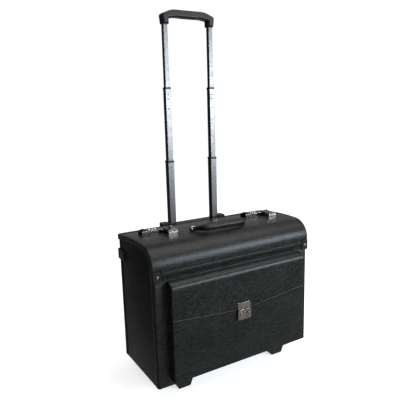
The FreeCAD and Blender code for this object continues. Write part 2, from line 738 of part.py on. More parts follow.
def make_clasp():
    """Pocket clasp: body with two buttons and a key cylinder, and the plate on the flap."""
    face_y = "(-pocket_depth - clasp_depth)"
    low_z = f"{CLASP_TOP} - clasp_height"
    case = block("clasp_case", ("-clasp_width / 2", face_y, low_z),
                 ("clasp_width", "clasp_depth", "clasp_height"))
    case = rounded("clasp_case_round", case, size("clasp_round"), lambda edge, box: runs_along(edge, 1))
    holes = []
    for side, sign in SIDES.items():
        x = f"{sign} * clasp_button_spread / 2"
        hole_radius = "clasp_button_radius + running_gap"
        hole_length = "clasp_button_depth + clasp_button_proud"
        holes.append(rod(f"clasp_hole_{side}", hole_radius, hole_length, (x, face_y, CLASP_BUTTON_Z), "Y"))
        start = (x, f"{face_y} - clasp_button_proud", CLASP_BUTTON_Z)
        stud = rod(f"clasp_stud_{side}", "clasp_button_radius", "clasp_button_depth", start, "Y")
        front = lambda edge, box: abs(edge.CenterOfMass.y - box.YMin) < NEAR
        rounded(f"clasp_button_{side}", stud, size("clasp_button_round"), front)
    key_start = ("0", f"{face_y} - key_proud", CLASP_BUTTON_Z)
    holes.append(rod("key_hole", "key_radius + running_gap", "key_depth + key_proud", key_start, "Y"))
    cut("clasp_body", case, fuse("clasp_holes", holes))
    barrel = rod("key_barrel", "key_radius", "key_depth", key_start, "Y")
    slot_low = ("-key_slot_width / 2", f"{face_y} - key_proud", f"{CLASP_BUTTON_Z} - key_slot_height / 2")
    slot = block("key_slot", slot_low, ("key_slot_width", "key_slot_depth", "key_slot_height"))
    cut("clasp_key_cylinder", barrel, slot)
    plate_y = "-pocket_depth - flap_gap - flap_wall - hasp_plate_wall"
    plate_z = f"{CLASP_TOP} + clasp_plate_gap"
    plate = block("flap_plate_blank", ("-clasp_width / 2", plate_y, plate_z),
                  ("clasp_width", "hasp_plate_wall", "hasp_plate_height"))
    rounded("clasp_flap_plate", plate, size("clasp_round"), lambda edge, box: runs_along(edge, 1))


# ---------------------------------------------------------------- feet and wheels

def make_feet():
    for side, sign in SIDES.items():
        body = body_of(f"foot_{side}")
        sole = "foot_sole_width / 2"
        top = "foot_top_width / 2"
        corners = [(f"-{top}", "base_height"), (f"-{sole}", "0"), (sole, "0"), (top, "base_height")]
        pad(body, outline(new_sketch(body, "XZ_Plane"), corners), "foot_length")
        lower = lambda edge, box: runs_along(edge, 0) and edge.CenterOfMass.z < NEAR
        soften(body, size("foot_round"), lower)
        place(body, x=f"{sign} * foot_spread / 2", y="foot_setback + foot_length")


def make_wheels():
    axles = []
    for side, sign in SIDES.items():
        x = f"({sign} * wheel_spread / 2)"
        low = (f"{x} - {HOUSING_WIDTH} / 2", HOUSING_FRONT, "wheel_radius - housing_skirt")
        length = f"{AXLE_Y} + housing_back - {HOUSING_FRONT}"
        shell = block(f"housing_shell_{side}", low,
                      (HOUSING_WIDTH, length, f"{HOUSING_TOP} - wheel_radius + housing_skirt"))
        well_start = (f"{x} - wheel_width / 2 - wheel_side_gap", AXLE_Y, "wheel_radius")
        well = rod(f"housing_well_{side}", "wheel_radius + wheel_top_gap",
                   "wheel_width + 2 * wheel_side_gap", well_start, "X")
        bore_start = (f"{x} - {HOUSING_WIDTH} / 2", AXLE_Y, "wheel_radius")
        bore = rod(f"housing_bore_{side}", "axle_radius", HOUSING_WIDTH, bore_start, "X")
        cut(f"wheel_housing_{side}", shell, fuse(f"housing_cuts_{side}", [well, bore]))
        axles.append(rod(f"axle_{side}", "axle_radius", HOUSING_WIDTH, bore_start, "X"))
        make_wheel(side, x)
    group("wheel_axles", axles)


def make_wheel(side, x):
    """Hub and tyre, each turned about the axle's line."""
    rim = "(wheel_radius - tyre_wall)"
    half = "(wheel_width / 2)"
    web = f"({half} - web_inset)"
    bore = "(axle_radius + running_gap)"
    boss = "(axle_radius + hub_wall)"
    hollow = f"({rim} - hub_wall)"
    hub_side = f"({half} - hub_inset)"
    hub = [(f"-{hub_side}", bore), (f"-{hub_side}", boss), (f"-{web}", boss), (f"-{web}", hollow),
           (f"-{hub_side}", hollow), (f"-{hub_side}", rim), (hub_side, rim), (hub_side, hollow),
           (web, hollow), (web, boss), (hub_side, boss), (hub_side, bore)]
    shoulder = f"({half} - tyre_shoulder)"
    tread = "wheel_radius - tyre_shoulder"
    tyre = [(f"-{half}", rim), (f"-{half}", tread), (f"-{shoulder}", "wheel_radius"),
            (shoulder, "wheel_radius"), (half, tread), (half, rim)]
    for name, corners in (("wheel_hub_", hub), ("tyre_", tyre)):
        body = body_of(name + side)
        sketch = outline(new_sketch(body, "XY_Plane"), corners)
        feature = body.newObject("PartDesign::Revolution", body.Name + "_turned")
        feature.Profile = sketch
        feature.ReferenceAxis = (sketch, ["H_Axis"])
        feature.Angle = 360
        place(body, x=x, y=AXLE_Y, z="wheel_radius")


# ---------------------------------------------------------------- trolley

def square_tube(name, outer, length, x, z):
    """A square tube with rounded outer corners, standing on z."""
    body = body_of(name)
    half = f"({outer} / 2)"
    solid = rectangle(new_sketch(body, "XY_Plane"), f"-{half}", f"-{half}", outer, outer)
    pad(body, solid, length)
    soften(body, size("tube_round"), lambda edge, box: runs_along(edge, 2))
    doc.recompute()
    inner = f"({outer} - 2 * tube_wall)"
    hole = rectangle(new_sketch(body, "XY_Plane"), f"-{inner} / 2", f"-{inner} / 2", inner, inner)
    pocket(body, hole, f"2 * {length} + {BEYOND}", both_ways=True)
    return place(body, x=x, y=TUBE_Y, z=z)


def add_pin_holes(body, length):
    """Holes in the front of a stage's tube for the pins that hold it drawn out."""
    for drop in ("pin_first", "pin_second", "pin_third"):
        hole = circle(new_sketch(body, "XZ_Plane"), "pin_radius", high=f"{length} - {drop}")
        pocket(body, hole, "tube_top_size + 4 * tube_wall", reverse=True)


def collar(name, tube, passing, x, z):
    """A square ring on top of a stage, which the next stage passes through."""
    outer = f"({tube} + 2 * collar_proud)"
    hole = f"({passing} + tube_gap)"
    ring = block(name + "_ring", (f"{x} - {outer} / 2", f"{TUBE_Y} - {outer} / 2", z),
                 (outer, outer, "collar_height"))
    opening = block(name + "_hole", (f"{x} - {hole} / 2", f"{TUBE_Y} - {hole} / 2", z),
                    (hole, hole, "collar_height"))
    return cut(name, ring, opening)


def make_trolley_stages():
    fixed_low = "(base_height + tube_foot)"
    stages = [
        ("lower", TUBE_LOWER, f"({TUBE_TOP} - tube_overlap)", LOWER_TOP, TUBE_MIDDLE),
        ("middle", TUBE_MIDDLE, f"({LOWER_TOP} - tube_overlap)", MIDDLE_TOP, "tube_top_size"),
        ("upper", "tube_top_size", f"({MIDDLE_TOP} - tube_overlap)", f"({GRIP_BOTTOM} + grip_socket)", None),
    ]
    tubes = {stage[0]: [] for stage in stages}
    collars = {stage[0]: [] for stage in stages}
    for side, sign in SIDES.items():
        x = f"({sign} * tube_spread / 2)"
        square_tube(f"outer_tube_{side}", TUBE_FIXED, f"({TUBE_TOP} - {fixed_low})", x, fixed_low)
        for stage, outer, low, top, passing in stages:
            length = f"({top} - {low})"
            tube = square_tube(f"{stage}_tube_{side}", outer, length, x, low)
            tubes[stage].append(tube)
            if passing:
                add_pin_holes(tube, length)
                collars[stage].append(collar(f"{stage}_collar_{side}", outer, passing, x, top))
    for stage in tubes:
        group(f"{stage}_tubes", tubes[stage])
    for stage in ("lower", "middle"):
        group(f"{stage}_collars", collars[stage])


def make_brackets():
    """Top and bottom brackets that hold the fixed tubes to the back board."""
    end_half = f"(tube_spread / 2 + {TUBE_FIXED} / 2 + bracket_margin + bracket_end)"
    depth = f"{TUBE_FIXED} + bracket_wall"
    rows = (("trolley_top_bracket", f"{TUBE_TOP} - bracket_height", "bracket_height"),
            ("trolley_bottom_bracket", "base_height + foot_bracket_rise", "foot_bracket_height"))
    for name, low_z, height in rows:
        bar = block(name + "_bar", (f"-{end_half}", "body_depth", low_z), (f"2 * {end_half}", depth, height))
        solids = [bar]
        holes = []
        for side, sign in SIDES.items():
            if name == "trolley_top_bracket":
                low_x = f"{end_half} - bracket_end" if sign > 0 else f"-{end_half}"
                low = (low_x, "body_depth", TUBE_TOP)
                solids.append(block(f"{name}_end_{side}", low, ("bracket_end", depth, "bracket_end_rise")))
            hole_x = f"{sign} * tube_spread / 2 - {TUBE_FIXED} / 2"
            hole_low = low_z if name == "trolley_top_bracket" else "base_height + tube_foot"
            low = (hole_x, "body_depth", hole_low)
            holes.append(block(f"{name}_hole_{side}", low, (TUBE_FIXED, TUBE_FIXED, "bracket_height")))
        bar = fuse(name + "_solid", solids)
        cut_bar = cut(name + "_cut", bar, fuse(name + "_holes", holes))
        outer = lambda edge, box: runs_along(edge, 2) and edge.CenterOfMass.y > box.YMax - NEAR
        rounded(name, cut_bar, size("bracket_round"), outer)


def make_bracket_screws():
    """Heads of the screws that hold the brackets."""
    screws = []
    back = f"(body_depth + {TUBE_FIXED} + bracket_wall)"
    heights = {"top": f"({TUBE_TOP} - bracket_height / 2)",
               "bottom": "(base_height + foot_bracket_rise + foot_bracket_height / 2)"}
    for level, z in heights.items():
        for side, sign in SIDES.items():
            x = f"{sign} * (tube_spread / 2 + {TUBE_FIXED} / 2 + bracket_margin + bracket_end / 2)"
            head = rod(f"screw_{level}_{side}_head", "screw_radius", "screw_head", (x, back, z), "Y")
            slot_low = (f"{x} - screw_radius", f"{back} + screw_head - screw_slot", f"{z} - screw_slot / 2")
            slot = block(f"slot_{level}_{side}", slot_low, ("2 * screw_radius", "screw_slot", "screw_slot"))
            screws.append(cut(f"screw_{level}_{side}", head, slot))
    group("bracket_screws", screws)


def make_grip():
    """Arched grip with a leg over each upper tube and a release button under the bar."""
    body = body_of("grip_arch")
    half = "(grip_width / 2)"
    leg = f"({half} - grip_leg_width)"
    level = f"({leg} - grip_arch_run)"
    under = "(grip_leg + grip_arch)"
    top = "(grip_leg + grip_bar)"
    shoulder = f"({half} - grip_shoulder_run)"
    shoulder_z = f"({top} - grip_shoulder_drop)"
    foot = f"({half} - grip_flare)"
    right = [(level, under), (leg, "grip_leg"), (leg, "0"), (foot, "0"), (half, shoulder_z), (shoulder, top)]
    left = [(f"-{x}", z) for x, z in reversed(right)]
    pad(body, outline(new_sketch(body, "XZ_Plane"), right + left), "grip_depth", both_ways=True)
    blend = lambda edge, box: runs_along(edge, 1) and edge.CenterOfMass.z > box.ZMax - NEAR
    soften(body, size("grip_round"), blend)
    corner = lambda edge, box: runs_along(edge, 1) and abs(edge.CenterOfMass.x) > box.XMax - NEAR
    soften(body, size("grip_corner"), corner)
    side = lambda edge, box: abs(abs(edge.CenterOfMass.y - box.Center.y) - box.YLength / 2) < NEAR
    soften(body, size("grip_edge"), side)
    place(body, y=TUBE_Y, z=GRIP_BOTTOM)
    holes = []
    for name, sign in SIDES.items():
        low = (f"{sign} * tube_spread / 2 - tube_top_size / 2", f"{TUBE_Y} - tube_top_size / 2",
               GRIP_BOTTOM)
        holes.append(block(f"grip_socket_{name}", low, ("tube_top_size", "tube_top_size", "grip_socket")))
    recess_length = "(grip_button_length + 2 * button_side_gap)"
    recess_width = "(grip_button_width + 2 * button_side_gap)"
    bar_low = f"{GRIP_BOTTOM} + {under}"
    low = (f"-{recess_length} / 2", f"{TUBE_Y} - {recess_width} / 2", bar_low)
    recess_height = "grip_button_height - grip_button_proud + grip_button_travel + button_side_gap"
    holes.append(block("grip_recess", low, (recess_length, recess_width, recess_height)))
    cut("trolley_grip", body, fuse("grip_cuts", holes))
    low = ("-grip_button_length / 2", f"{TUBE_Y} - grip_button_width / 2",
           f"{bar_low} - grip_button_proud")
    sides = ("grip_button_length", "grip_button_width", "grip_button_height")
    button = block("grip_button_blank", low, sides)
    lower = lambda edge, box: edge.CenterOfMass.z < box.ZMin + NEAR
    rounded("grip_button", button, size("grip_button_round"), lower)


# ---------------------------------------------------------------- top locks

def make_locks():
    for side, sign in SIDES.items():
        low_x = f"({sign} * lock_centre - lock_length / 2)"
        make_lock_body(side, low_x)
        make_dials(side, low_x)
        make_slider(side, low_x)
        make_latch(side, low_x)


def make_lock_body(side, low_x):
    """Lock case that follows the crown, with dial slots, a slider slot and the latch ears."""
    sink = REAR_DROP
    high = "(lock_length - latch_width)"
    low = (low_x, "lock_setback", f"{CROWN_Z} - {sink}")
    tall = block(f"lock_tall_{side}", low, (high, "lock_width", f"lock_height + {sink}"))
    low = (f"{low_x} + {high}", "lock_setback", f"{CROWN_Z} - {sink}")
    short_sides = ("latch_width", "lock_width", f"lock_height - latch_step + {sink}")
    short = block(f"lock_short_{side}", low, short_sides)
    ears = []
    for end in ("0", "latch_width - latch_ear"):
        low = (f"{low_x} + {high} + {end}", f"{LATCH_Y} - latch_barrel", LATCH_TOP)
        ear_sides = ("latch_ear", "2 * latch_barrel", "2 * latch_barrel + lid_gap")
        ears.append(block(f"lock_ear_{side}_{len(ears)}", low, ear_sides))
    case = fuse(f"lock_case_{side}", [tall, short] + ears)
    cuts = [make_dial_slot(side, low_x, i) for i in range(3)]
    low = (f"{low_x} + slider_inset + slider_length / 2 - stem_width / 2 - stem_gap",
           f"{LATCH_Y} - stem_width / 2 - stem_gap", f"{LOCK_TOP} - stem_depth - stem_gap")
    slot_sides = ("stem_width + slider_travel + 2 * stem_gap", "stem_width + 2 * stem_gap",
                  f"stem_depth + {BEYOND}")
    cuts.append(block(f"slider_slot_{side}", low, slot_sides))
    cuts.append(crown_rod(f"crown_{side}", low_x, "lock_length"))
    hollow = cut(f"lock_hollow_{side}", case, fuse(f"lock_cuts_{side}", cuts))
    shaft_start = (f"{low_x} + dial_first - dial_width / 2 - dial_shaft_seat", LATCH_Y,
                   f"{LOCK_TOP} + dial_proud - dial_radius")
    shaft_length = "2 * dial_pitch + dial_width + 2 * dial_shaft_seat"
    shaft = rod(f"dial_shaft_{side}", "dial_shaft_radius", shaft_length, shaft_start, "X")
    pin_start = (f"{low_x} + {high} + latch_ear / 2", LATCH_Y, LATCH_Z)
    pin = rod(f"latch_pin_{side}", "latch_pin", "latch_width - latch_ear", pin_start, "X")
    fuse(f"lock_body_{side}", [hollow, shaft, pin])


def make_dial_slot(side, low_x, i):
    """Slot in the lock case for one dial."""
    low = (f"{low_x} + dial_first + {i} * dial_pitch - dial_width / 2 - dial_side_gap",
           f"{LATCH_Y} - dial_radius - lid_gap",
           f"{LOCK_TOP} + dial_proud - 2 * dial_radius - dial_floor_gap")
    sides = ("dial_width + 2 * dial_side_gap", "2 * dial_radius + 2 * lid_gap", "2 * dial_radius")
    return block(f"dial_slot_{side}_{i}", low, sides)


def crown_rod(name, low_x, length):
    """Cutter that leaves a fitting's underside just clear of the crown of the lids."""
    start = (f"{low_x} - {BEYOND}", "crown_setback", f"{CROWN_Z} - crown_radius")
    return rod(name, "crown_radius + lock_seat_gap", f"{length} + 2 * {BEYOND}", start, "X")


def make_dials(side, low_x):
    """Number dials with ten finger notches each."""
    for i in range(3):
        body = body_of(f"dial_{side}_{i + 1}")
        pad(body, circle(new_sketch(body, "YZ_Plane"), "dial_radius"), "dial_width", both_ways=True)
        doc.recompute()
        pocket(body, circle(new_sketch(body, "YZ_Plane"), "dial_shaft_radius + running_gap"),
               "2 * dial_width", both_ways=True)
        notch = rectangle(new_sketch(body, "YZ_Plane"), "-notch_width / 2", "dial_radius - notch_depth",
                          "notch_width", "2 * notch_depth")
        first = pocket(body, notch, "2 * dial_width", both_ways=True)
        pattern = body.newObject("PartDesign::PolarPattern", body.Name + "_ring")
        pattern.Originals = [first]
        axis = next(f for f in body.Origin.OriginFeatures if f.Role == "X_Axis")
        pattern.Axis = (axis, [""])
        pattern.Angle = 360
        pattern.Occurrences = 10
        body.Tip = pattern
        place(body, x=f"{low_x} + dial_first + {i} * dial_pitch", y=LATCH_Y,
              z=f"{LOCK_TOP} + dial_proud - dial_radius")


def make_slider(side, low_x):
    """Thumb slider: a ribbed head on a stem that runs in the lock's slot."""
    head_x = f"{low_x} + slider_inset"
    head_y = f"{LATCH_Y} - slider_width / 2"
    head_z = f"{LOCK_TOP} + slider_float"
    head = block(f"slider_head_{side}", (head_x, head_y, head_z),
                 ("slider_length", "slider_width", "slider_height"))
    stem_low = (f"{head_x} + slider_length / 2 - stem_width / 2", f"{LATCH_Y} - stem_width / 2",
                f"{LOCK_TOP} - stem_depth")
    stem = block(f"slider_stem_{side}", stem_low,
                 ("stem_width", "stem_width", "stem_depth + slider_float + slider_height / 2"))
    grooves = []
    for i in range(3):
        low = (f"{head_x} + groove_first + {i} * groove_pitch", head_y,
               f"{head_z} + slider_height - groove_depth")
        grooves.append(block(f"slider_groove_{side}_{i}", low,
                             ("groove_width", "slider_width", "2 * groove_depth")))
    solid = fuse(f"slider_solid_{side}", [head, stem])
    cut(f"lock_slider_{side}", solid, fuse(f"slider_grooves_{side}", grooves))


def make_latch(side, low_x):
    """Latch plate that turns on the lock's pin and lies over the strike."""
    left = f"({low_x} + lock_length - latch_width + latch_ear + stem_gap)"
    width = "(latch_width - 2 * latch_ear - 2 * stem_gap)"
    barrel = rod(f"latch_barrel_{side}", "latch_barrel", width, (left, LATCH_Y, LATCH_Z), "X")
    plate_low = (left, f"{LATCH_Y} - latch_reach", f"{LATCH_Z} + latch_barrel - latch_wall")
    plate = block(f"latch_plate_{side}", plate_low, (width, "latch_reach", "latch_wall"))
    lip_low = (left, f"{LATCH_Y} - latch_reach", f"{LATCH_Z} + latch_barrel - latch_wall - latch_lip_drop")
    lip = block(f"latch_lip_{side}", lip_low, (width, "latch_lip", "latch_wall"))
    bore_start = (f"{left} - {BEYOND}", LATCH_Y, LATCH_Z)
    bore = rod(f"latch_bore_{side}", "latch_pin + running_gap", f"{width} + 2 * {BEYOND}", bore_start, "X")
    cut(f"latch_{side}", fuse(f"latch_solid_{side}", [barrel, plate, lip]), bore)


def make_strikes():
    """Strike plates on the front lid, under the latch tips."""
    strikes = []
    for side, sign in SIDES.items():
        left = f"{sign} * lock_centre + lock_length / 2 - latch_width + latch_ear"
        width = "latch_width - 2 * latch_ear"
        low_y = "seam_setback - seam_gap / 2 - strike_seam_gap - strike_length"
        low = (left, low_y, f"{CROWN_Z} - {REAR_DROP}")
        plate = block(f"strike_blank_{side}", low, (width, "strike_length", f"strike_height + {REAR_DROP}"))
        crown = crown_rod(f"strike_crown_{side}", left, width)
        strikes.append(cut(f"strike_{side}", plate, crown))
    group("strikes", strikes)


# ---------------------------------------------------------------- carry handle

def make_handle():
    posts = []
    rings = []
    for side, sign in SIDES.items():
        x = f"({sign} * handle_spread / 2)"
        posts.append(make_post(side, x))
        rings.append(make_ring(side, x))
    group("handle_posts", posts)
    group("handle_rings", rings)
    make_handle_grip()


def make_post(side, x):
    """Foot on the front lid, whose eye holds the ring's rod."""
    low_x = f"{x} - post_width / 2"
    foot_low = (low_x, "handle_setback - post_length / 2", f"{CROWN_Z} - {REAR_DROP}")
    foot = block(f"post_foot_{side}", foot_low, ("post_width", "post_length", f"post_foot + {REAR_DROP}"))
    eye_start = (low_x, "handle_setback", HANDLE_Z)
    eye = rod(f"post_eye_{side}", "ring_rod + post_wall", "post_width", eye_start, "X")
    stem_low = (low_x, "handle_setback - ring_rod - post_wall", CROWN_Z)
    stem_sides = ("post_width", "2 * (ring_rod + post_wall)", "handle_pivot_rise")
    stem = block(f"post_stem_{side}", stem_low, stem_sides)
    bore_start = (f"{low_x} - {BEYOND}", "handle_setback", HANDLE_Z)
    bore = rod(f"post_bore_{side}", "ring_rod + running_gap", f"post_width + 2 * {BEYOND}", bore_start, "X")
    crown = crown_rod(f"post_crown_{side}", low_x, "post_width")
    solid = fuse(f"post_solid_{side}", [foot, eye, stem])
    return cut(f"post_{side}", solid, fuse(f"post_cuts_{side}", [bore, crown]))


def make_ring(side, x):
    """Square wire ring: one rod in the post's eye, the other in the handle's end."""
    parts = []
    for name, y in (("pivot", "handle_setback"), ("grip", "handle_setback - ring_length")):
        start = (f"{x} - ring_width / 2", y, HANDLE_Z)
        parts.append(rod(f"ring_{name}_{side}", "ring_rod", "ring_width", start, "X"))
    for end in ("-ring_width / 2", "ring_width / 2 - ring_bar"):
        low = (f"{x} + {end}", "handle_setback - ring_length", f"{HANDLE_Z} - ring_bar / 2")
        parts.append(block(f"ring_side_{side}_{len(parts)}", low, ("ring_bar", "ring_length", "ring_bar")))
    return fuse(f"ring_{side}", parts)


def make_handle_grip():
    """Padded bar whose ends bend back to the rings."""
    z = number(HANDLE_Z)
    pivot_y = size("handle_setback")
    ring_y = pivot_y - size("ring_length")
    bar_y = pivot_y - size("handle_reach")
    high = z + size("handle_tilt")
    end_x = size("handle_spread") / 2
    radius = size("handle_radius")
    end_radius = size("handle_end_radius")
    full_x = end_x - 2 * radius
    path = Part.BSplineCurve()
    path.interpolate([FreeCAD.Vector(-end_x, ring_y, z), FreeCAD.Vector(-full_x, bar_y, high),
                      FreeCAD.Vector(0, bar_y - size("handle_bow"), high),
                      FreeCAD.Vector(full_x, bar_y, high), FreeCAD.Vector(end_x, ring_y, z)])
    rims = []
    for point_x, rim in ((-end_x, end_radius), (-full_x, radius), (0, radius), (full_x, radius),
                         (end_x, end_radius)):
        plane = Part.Plane(FreeCAD.Vector(point_x, 0, 0), FreeCAD.Vector(1, 0, 0))
        where = path.parameter(path.intersect(plane)[0][0].toShape().Point)
        rims.append(Part.Wire([Part.makeCircle(rim, path.value(where), path.tangent(where)[0])]))
    bar = Part.Wire([path.toShape()]).makePipeShell(rims, True, False)
    bore_radius = size("ring_rod") + size("running_gap")
    for sign in SIDES.values():
        start = FreeCAD.Vector(sign * end_x - size("ring_width") / 2, ring_y, z)
        bar = bar.cut(Part.makeCylinder(bore_radius, size("ring_width"), start, FreeCAD.Vector(1, 0, 0)))
    made("handle_grip", bar)


# ---------------------------------------------------------------- build and write

NODES = ["bottom_panel", "front_panel", "back_panel", "side_panel_left", "side_panel_right", "divider",
         "corner_tabs", "corner_rivets", "pocket_base", "pocket_top", "pocket_front", "pocket_side_left",
         "pocket_side_right", "clasp_body", "foot_left", "foot_right", "wheel_housing_left",
         "wheel_housing_right", "wheel_axles", "outer_tube_left", "outer_tube_right",
         "trolley_top_bracket", "trolley_bottom_bracket", "bracket_screws", "front_lid", "strikes",
         "handle_posts", "handle_rings", "handle_grip", "rear_lid", "pocket_flap", "clasp_flap_plate",
         "clasp_key_cylinder", "lower_tubes", "lower_collars", "middle_tubes", "middle_collars",
         "upper_tubes", "trolley_grip", "grip_button"]
for side in SIDES:
    NODES += [f"lock_body_{side}", f"lock_slider_{side}", f"latch_{side}", f"clasp_button_{side}"]
    NODES += [f"wheel_hub_{side}", f"tyre_{side}"]
    NODES += [f"dial_{side}_{i}" for i in (1, 2, 3)]


def build():
    make_bottom_panel()
    make_front_panel()
    make_back_panel()
    make_side_panels()
    make_divider()
    make_corner_tabs()
    make_pocket()
    make_pocket_flap()
    make_clasp()
    make_feet()
    make_wheels()
    make_trolley_stages()
    make_brackets()
    make_bracket_screws()
    make_grip()
    make_front_lid()
    make_rear_lid()
    make_locks()
    make_strikes()
    make_handle()
    doc.recompute()


def check():
    """Stop if any object failed or any sub-part has no valid shape."""
    failed = [piece.Name for piece in doc.Objects if {"Invalid", "Error"} & set(piece.State)]
    if failed:
        raise ValueError("failed: " + ", ".join(failed))
    for node in NODES:
        shape = doc.getObject(node).Shape
        if shape.isNull() or not shape.isValid() or not shape.Solids:
            raise ValueError(f"{node} has no valid solid")


def write():
    os.makedirs("parts", exist_ok=True)
    for node in NODES:
        piece = doc.getObject(node)
        piece.Label = node
        piece.Shape.exportStep(os.path.join("parts", node + ".step"))


build()
check()
write()
print(len(NODES), "nodes written")
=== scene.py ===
"""Looks of the rolling pilot flight case, in metres, in the frame of its CAD model.

+X runs across the width, -Y is the side with the pocket and +Z is up.
"""

import json
import math

import bmesh
import bpy
from mathutils import Matrix, Vector


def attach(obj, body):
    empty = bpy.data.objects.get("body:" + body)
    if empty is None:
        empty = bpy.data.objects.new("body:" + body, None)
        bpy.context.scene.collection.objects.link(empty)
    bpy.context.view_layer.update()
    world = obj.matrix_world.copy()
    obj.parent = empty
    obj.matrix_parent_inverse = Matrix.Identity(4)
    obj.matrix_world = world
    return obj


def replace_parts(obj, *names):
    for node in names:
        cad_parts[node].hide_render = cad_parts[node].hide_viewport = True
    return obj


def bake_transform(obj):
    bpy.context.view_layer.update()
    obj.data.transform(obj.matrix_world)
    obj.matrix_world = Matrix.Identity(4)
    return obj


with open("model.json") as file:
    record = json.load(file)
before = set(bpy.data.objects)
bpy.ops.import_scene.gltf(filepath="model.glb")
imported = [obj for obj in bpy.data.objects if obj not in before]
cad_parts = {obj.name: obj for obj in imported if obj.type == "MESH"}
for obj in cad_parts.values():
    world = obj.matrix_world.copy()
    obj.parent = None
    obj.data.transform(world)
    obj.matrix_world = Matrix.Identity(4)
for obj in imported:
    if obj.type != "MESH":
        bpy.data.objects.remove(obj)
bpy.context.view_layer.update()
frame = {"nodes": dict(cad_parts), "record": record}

MM = 0.001
# Outside of the box.
HALF_WIDTH = 0.235
HALF_DEPTH = 0.105
BOX_LOW = 0.036
EDGE_ROUND = 5 * MM
# Inside of the box.
ROOM_HALF = 0.229
ROOM_DEPTH = 0.099
# The lids' outside is two arcs, each given by its middle's y and z and its radius.
CROWN = (-0.015, -0.3405, 0.730)
FRONT_ROUND = (-0.058, 0.338139, 0.050)
LID_HALF = 0.2385
LID_LOW = 0.320
# Sewing: distance between stitches, length and radius of one.
STITCH = (4.2 * MM, 3.1 * MM, 0.32 * MM)


# ---------------------------------------------------------------- node materials

class Nodes:
    """Short names for the nodes of one material."""

    def __init__(self, name):
        self.material = bpy.data.materials.new(name)
        self.material.use_nodes = True
        self.tree = self.material.node_tree
        self.shader = self.tree.nodes["Principled BSDF"]
        coordinates = self.add("ShaderNodeTexCoord")
        self.position = coordinates.outputs["Object"]

    def add(self, kind, inputs=None, **settings):
        node = self.tree.nodes.new(kind)
        for key, value in settings.items():
            setattr(node, key, value)
        for key, value in (inputs or {}).items():
            self.put(node, key, value)
        return node

    def put(self, node, key, value):
        if isinstance(value, bpy.types.NodeSocket):
            self.tree.links.new(value, node.inputs[key])
        else:
            node.inputs[key].default_value = value

    def stretched(self, scale):
        """Position with its own scale along each axis."""
        return self.add("ShaderNodeMapping", {"Vector": self.position, "Scale": scale}).outputs[0]

    def noise(self, scale, detail=3.0, roughness=0.55, vector=None):
        node = self.add("ShaderNodeTexNoise", {"Vector": vector or self.position, "Scale": scale,
                                               "Detail": detail, "Roughness": roughness})
        return node.outputs["Fac"]

    def cells(self, scale, feature="F1", output="Distance", vector=None):
        node = self.add("ShaderNodeTexVoronoi", {"Vector": vector or self.position, "Scale": scale},
                        feature=feature)
        return node.outputs[output]

    def math(self, operation, a, b=0.0, clamp=False):
        return self.add("ShaderNodeMath", {0: a, 1: b}, operation=operation, use_clamp=clamp).outputs[0]

    def span(self, value, low, high, out_low=0.0, out_high=1.0):
        inputs = {"Value": value, "From Min": low, "From Max": high, "To Min": out_low, "To Max": out_high}
        return self.add("ShaderNodeMapRange", inputs).outputs[0]

    def mix(self, factor, first, second):
        node = self.add("ShaderNodeMix", data_type="RGBA")
        self.put(node, 0, factor)
        self.put(node, 6, (*first, 1.0) if isinstance(first, tuple) else first)
        self.put(node, 7, (*second, 1.0) if isinstance(second, tuple) else second)
        return node.outputs[2]

    def bump(self, height, distance, strength=1.0, soft_edge=0.0, normal=None):
        inputs = {"Height": height, "Distance": distance, "Strength": strength}
        if normal is not None:
            inputs["Normal"] = normal
        elif soft_edge:
            inputs["Normal"] = self.add("ShaderNodeBevel", {"Radius": soft_edge}, samples=6).outputs[0]
        return self.add("ShaderNodeBump", inputs).outputs[0]

    def finish(self, **inputs):
        for key, value in inputs.items():
            self.put(self.shader, key.replace("_", " "), value)
        return self.material


def leather(name, dark, light, grain=820.0, rough=(0.25, 0.40), depth=0.00028, soft_edge=0.0012):
    """Coated leatherette: pebbled grain, creases, pores, and a mottled and faintly streaked colour."""
    n = Nodes(name)
    wobble = n.noise(grain * 0.45, 2.0)
    drift = n.add("ShaderNodeTexNoise", {"Vector": n.position, "Scale": grain * 0.4}).outputs["Color"]
    drift = n.add("ShaderNodeVectorMath", {0: drift, 1: (0.7 * MM,) * 3}, operation="MULTIPLY").outputs[0]
    warped = n.add("ShaderNodeVectorMath", {0: n.position, 1: drift}, operation="ADD").outputs[0]
    pebble = n.cells(grain, "SMOOTH_F1", vector=warped)
    crease = n.cells(grain * 0.55, "DISTANCE_TO_EDGE", vector=warped)
    crease = n.span(crease, 0.0, 0.09)
    pores = n.noise(grain * 3.2, 2.0)
    height = n.math("ADD", n.math("MULTIPLY", pebble, -0.55), n.math("MULTIPLY", crease, 0.35))
    height = n.math("ADD", height, n.math("MULTIPLY", pores, 0.25))
    height = n.math("ADD", height, n.math("MULTIPLY", wobble, 0.25))
    patches = n.noise(17.0, 4.0)
    speckle = n.noise(210.0, 3.0, 0.7)
    streaks = n.noise(1.0, 3.0, vector=n.stretched((60.0, 60.0, 330.0)))
    blend = n.math("ADD", n.math("MULTIPLY", patches, 0.15), n.math("MULTIPLY", speckle, 0.5))
    blend = n.math("ADD", blend, n.math("MULTIPLY", streaks, 0.35))
    colour = n.mix(n.span(blend, 0.43, 0.58), dark, light)
    roughness = n.span(n.math("ADD", blend, n.math("MULTIPLY", pebble, 0.4)), 0.4, 0.95, rough[0], rough[1])
    rumple = n.math("ADD", n.noise(55.0, 3.0), n.math("MULTIPLY", speckle, 0.35))
    swell = n.bump(rumple, 0.0012, 0.45, soft_edge=soft_edge)
    normal = n.bump(height, depth, 0.55, normal=swell)
    return n.finish(Base_Color=colour, Roughness=roughness, Normal=normal, Specular_IOR_Level=0.27)


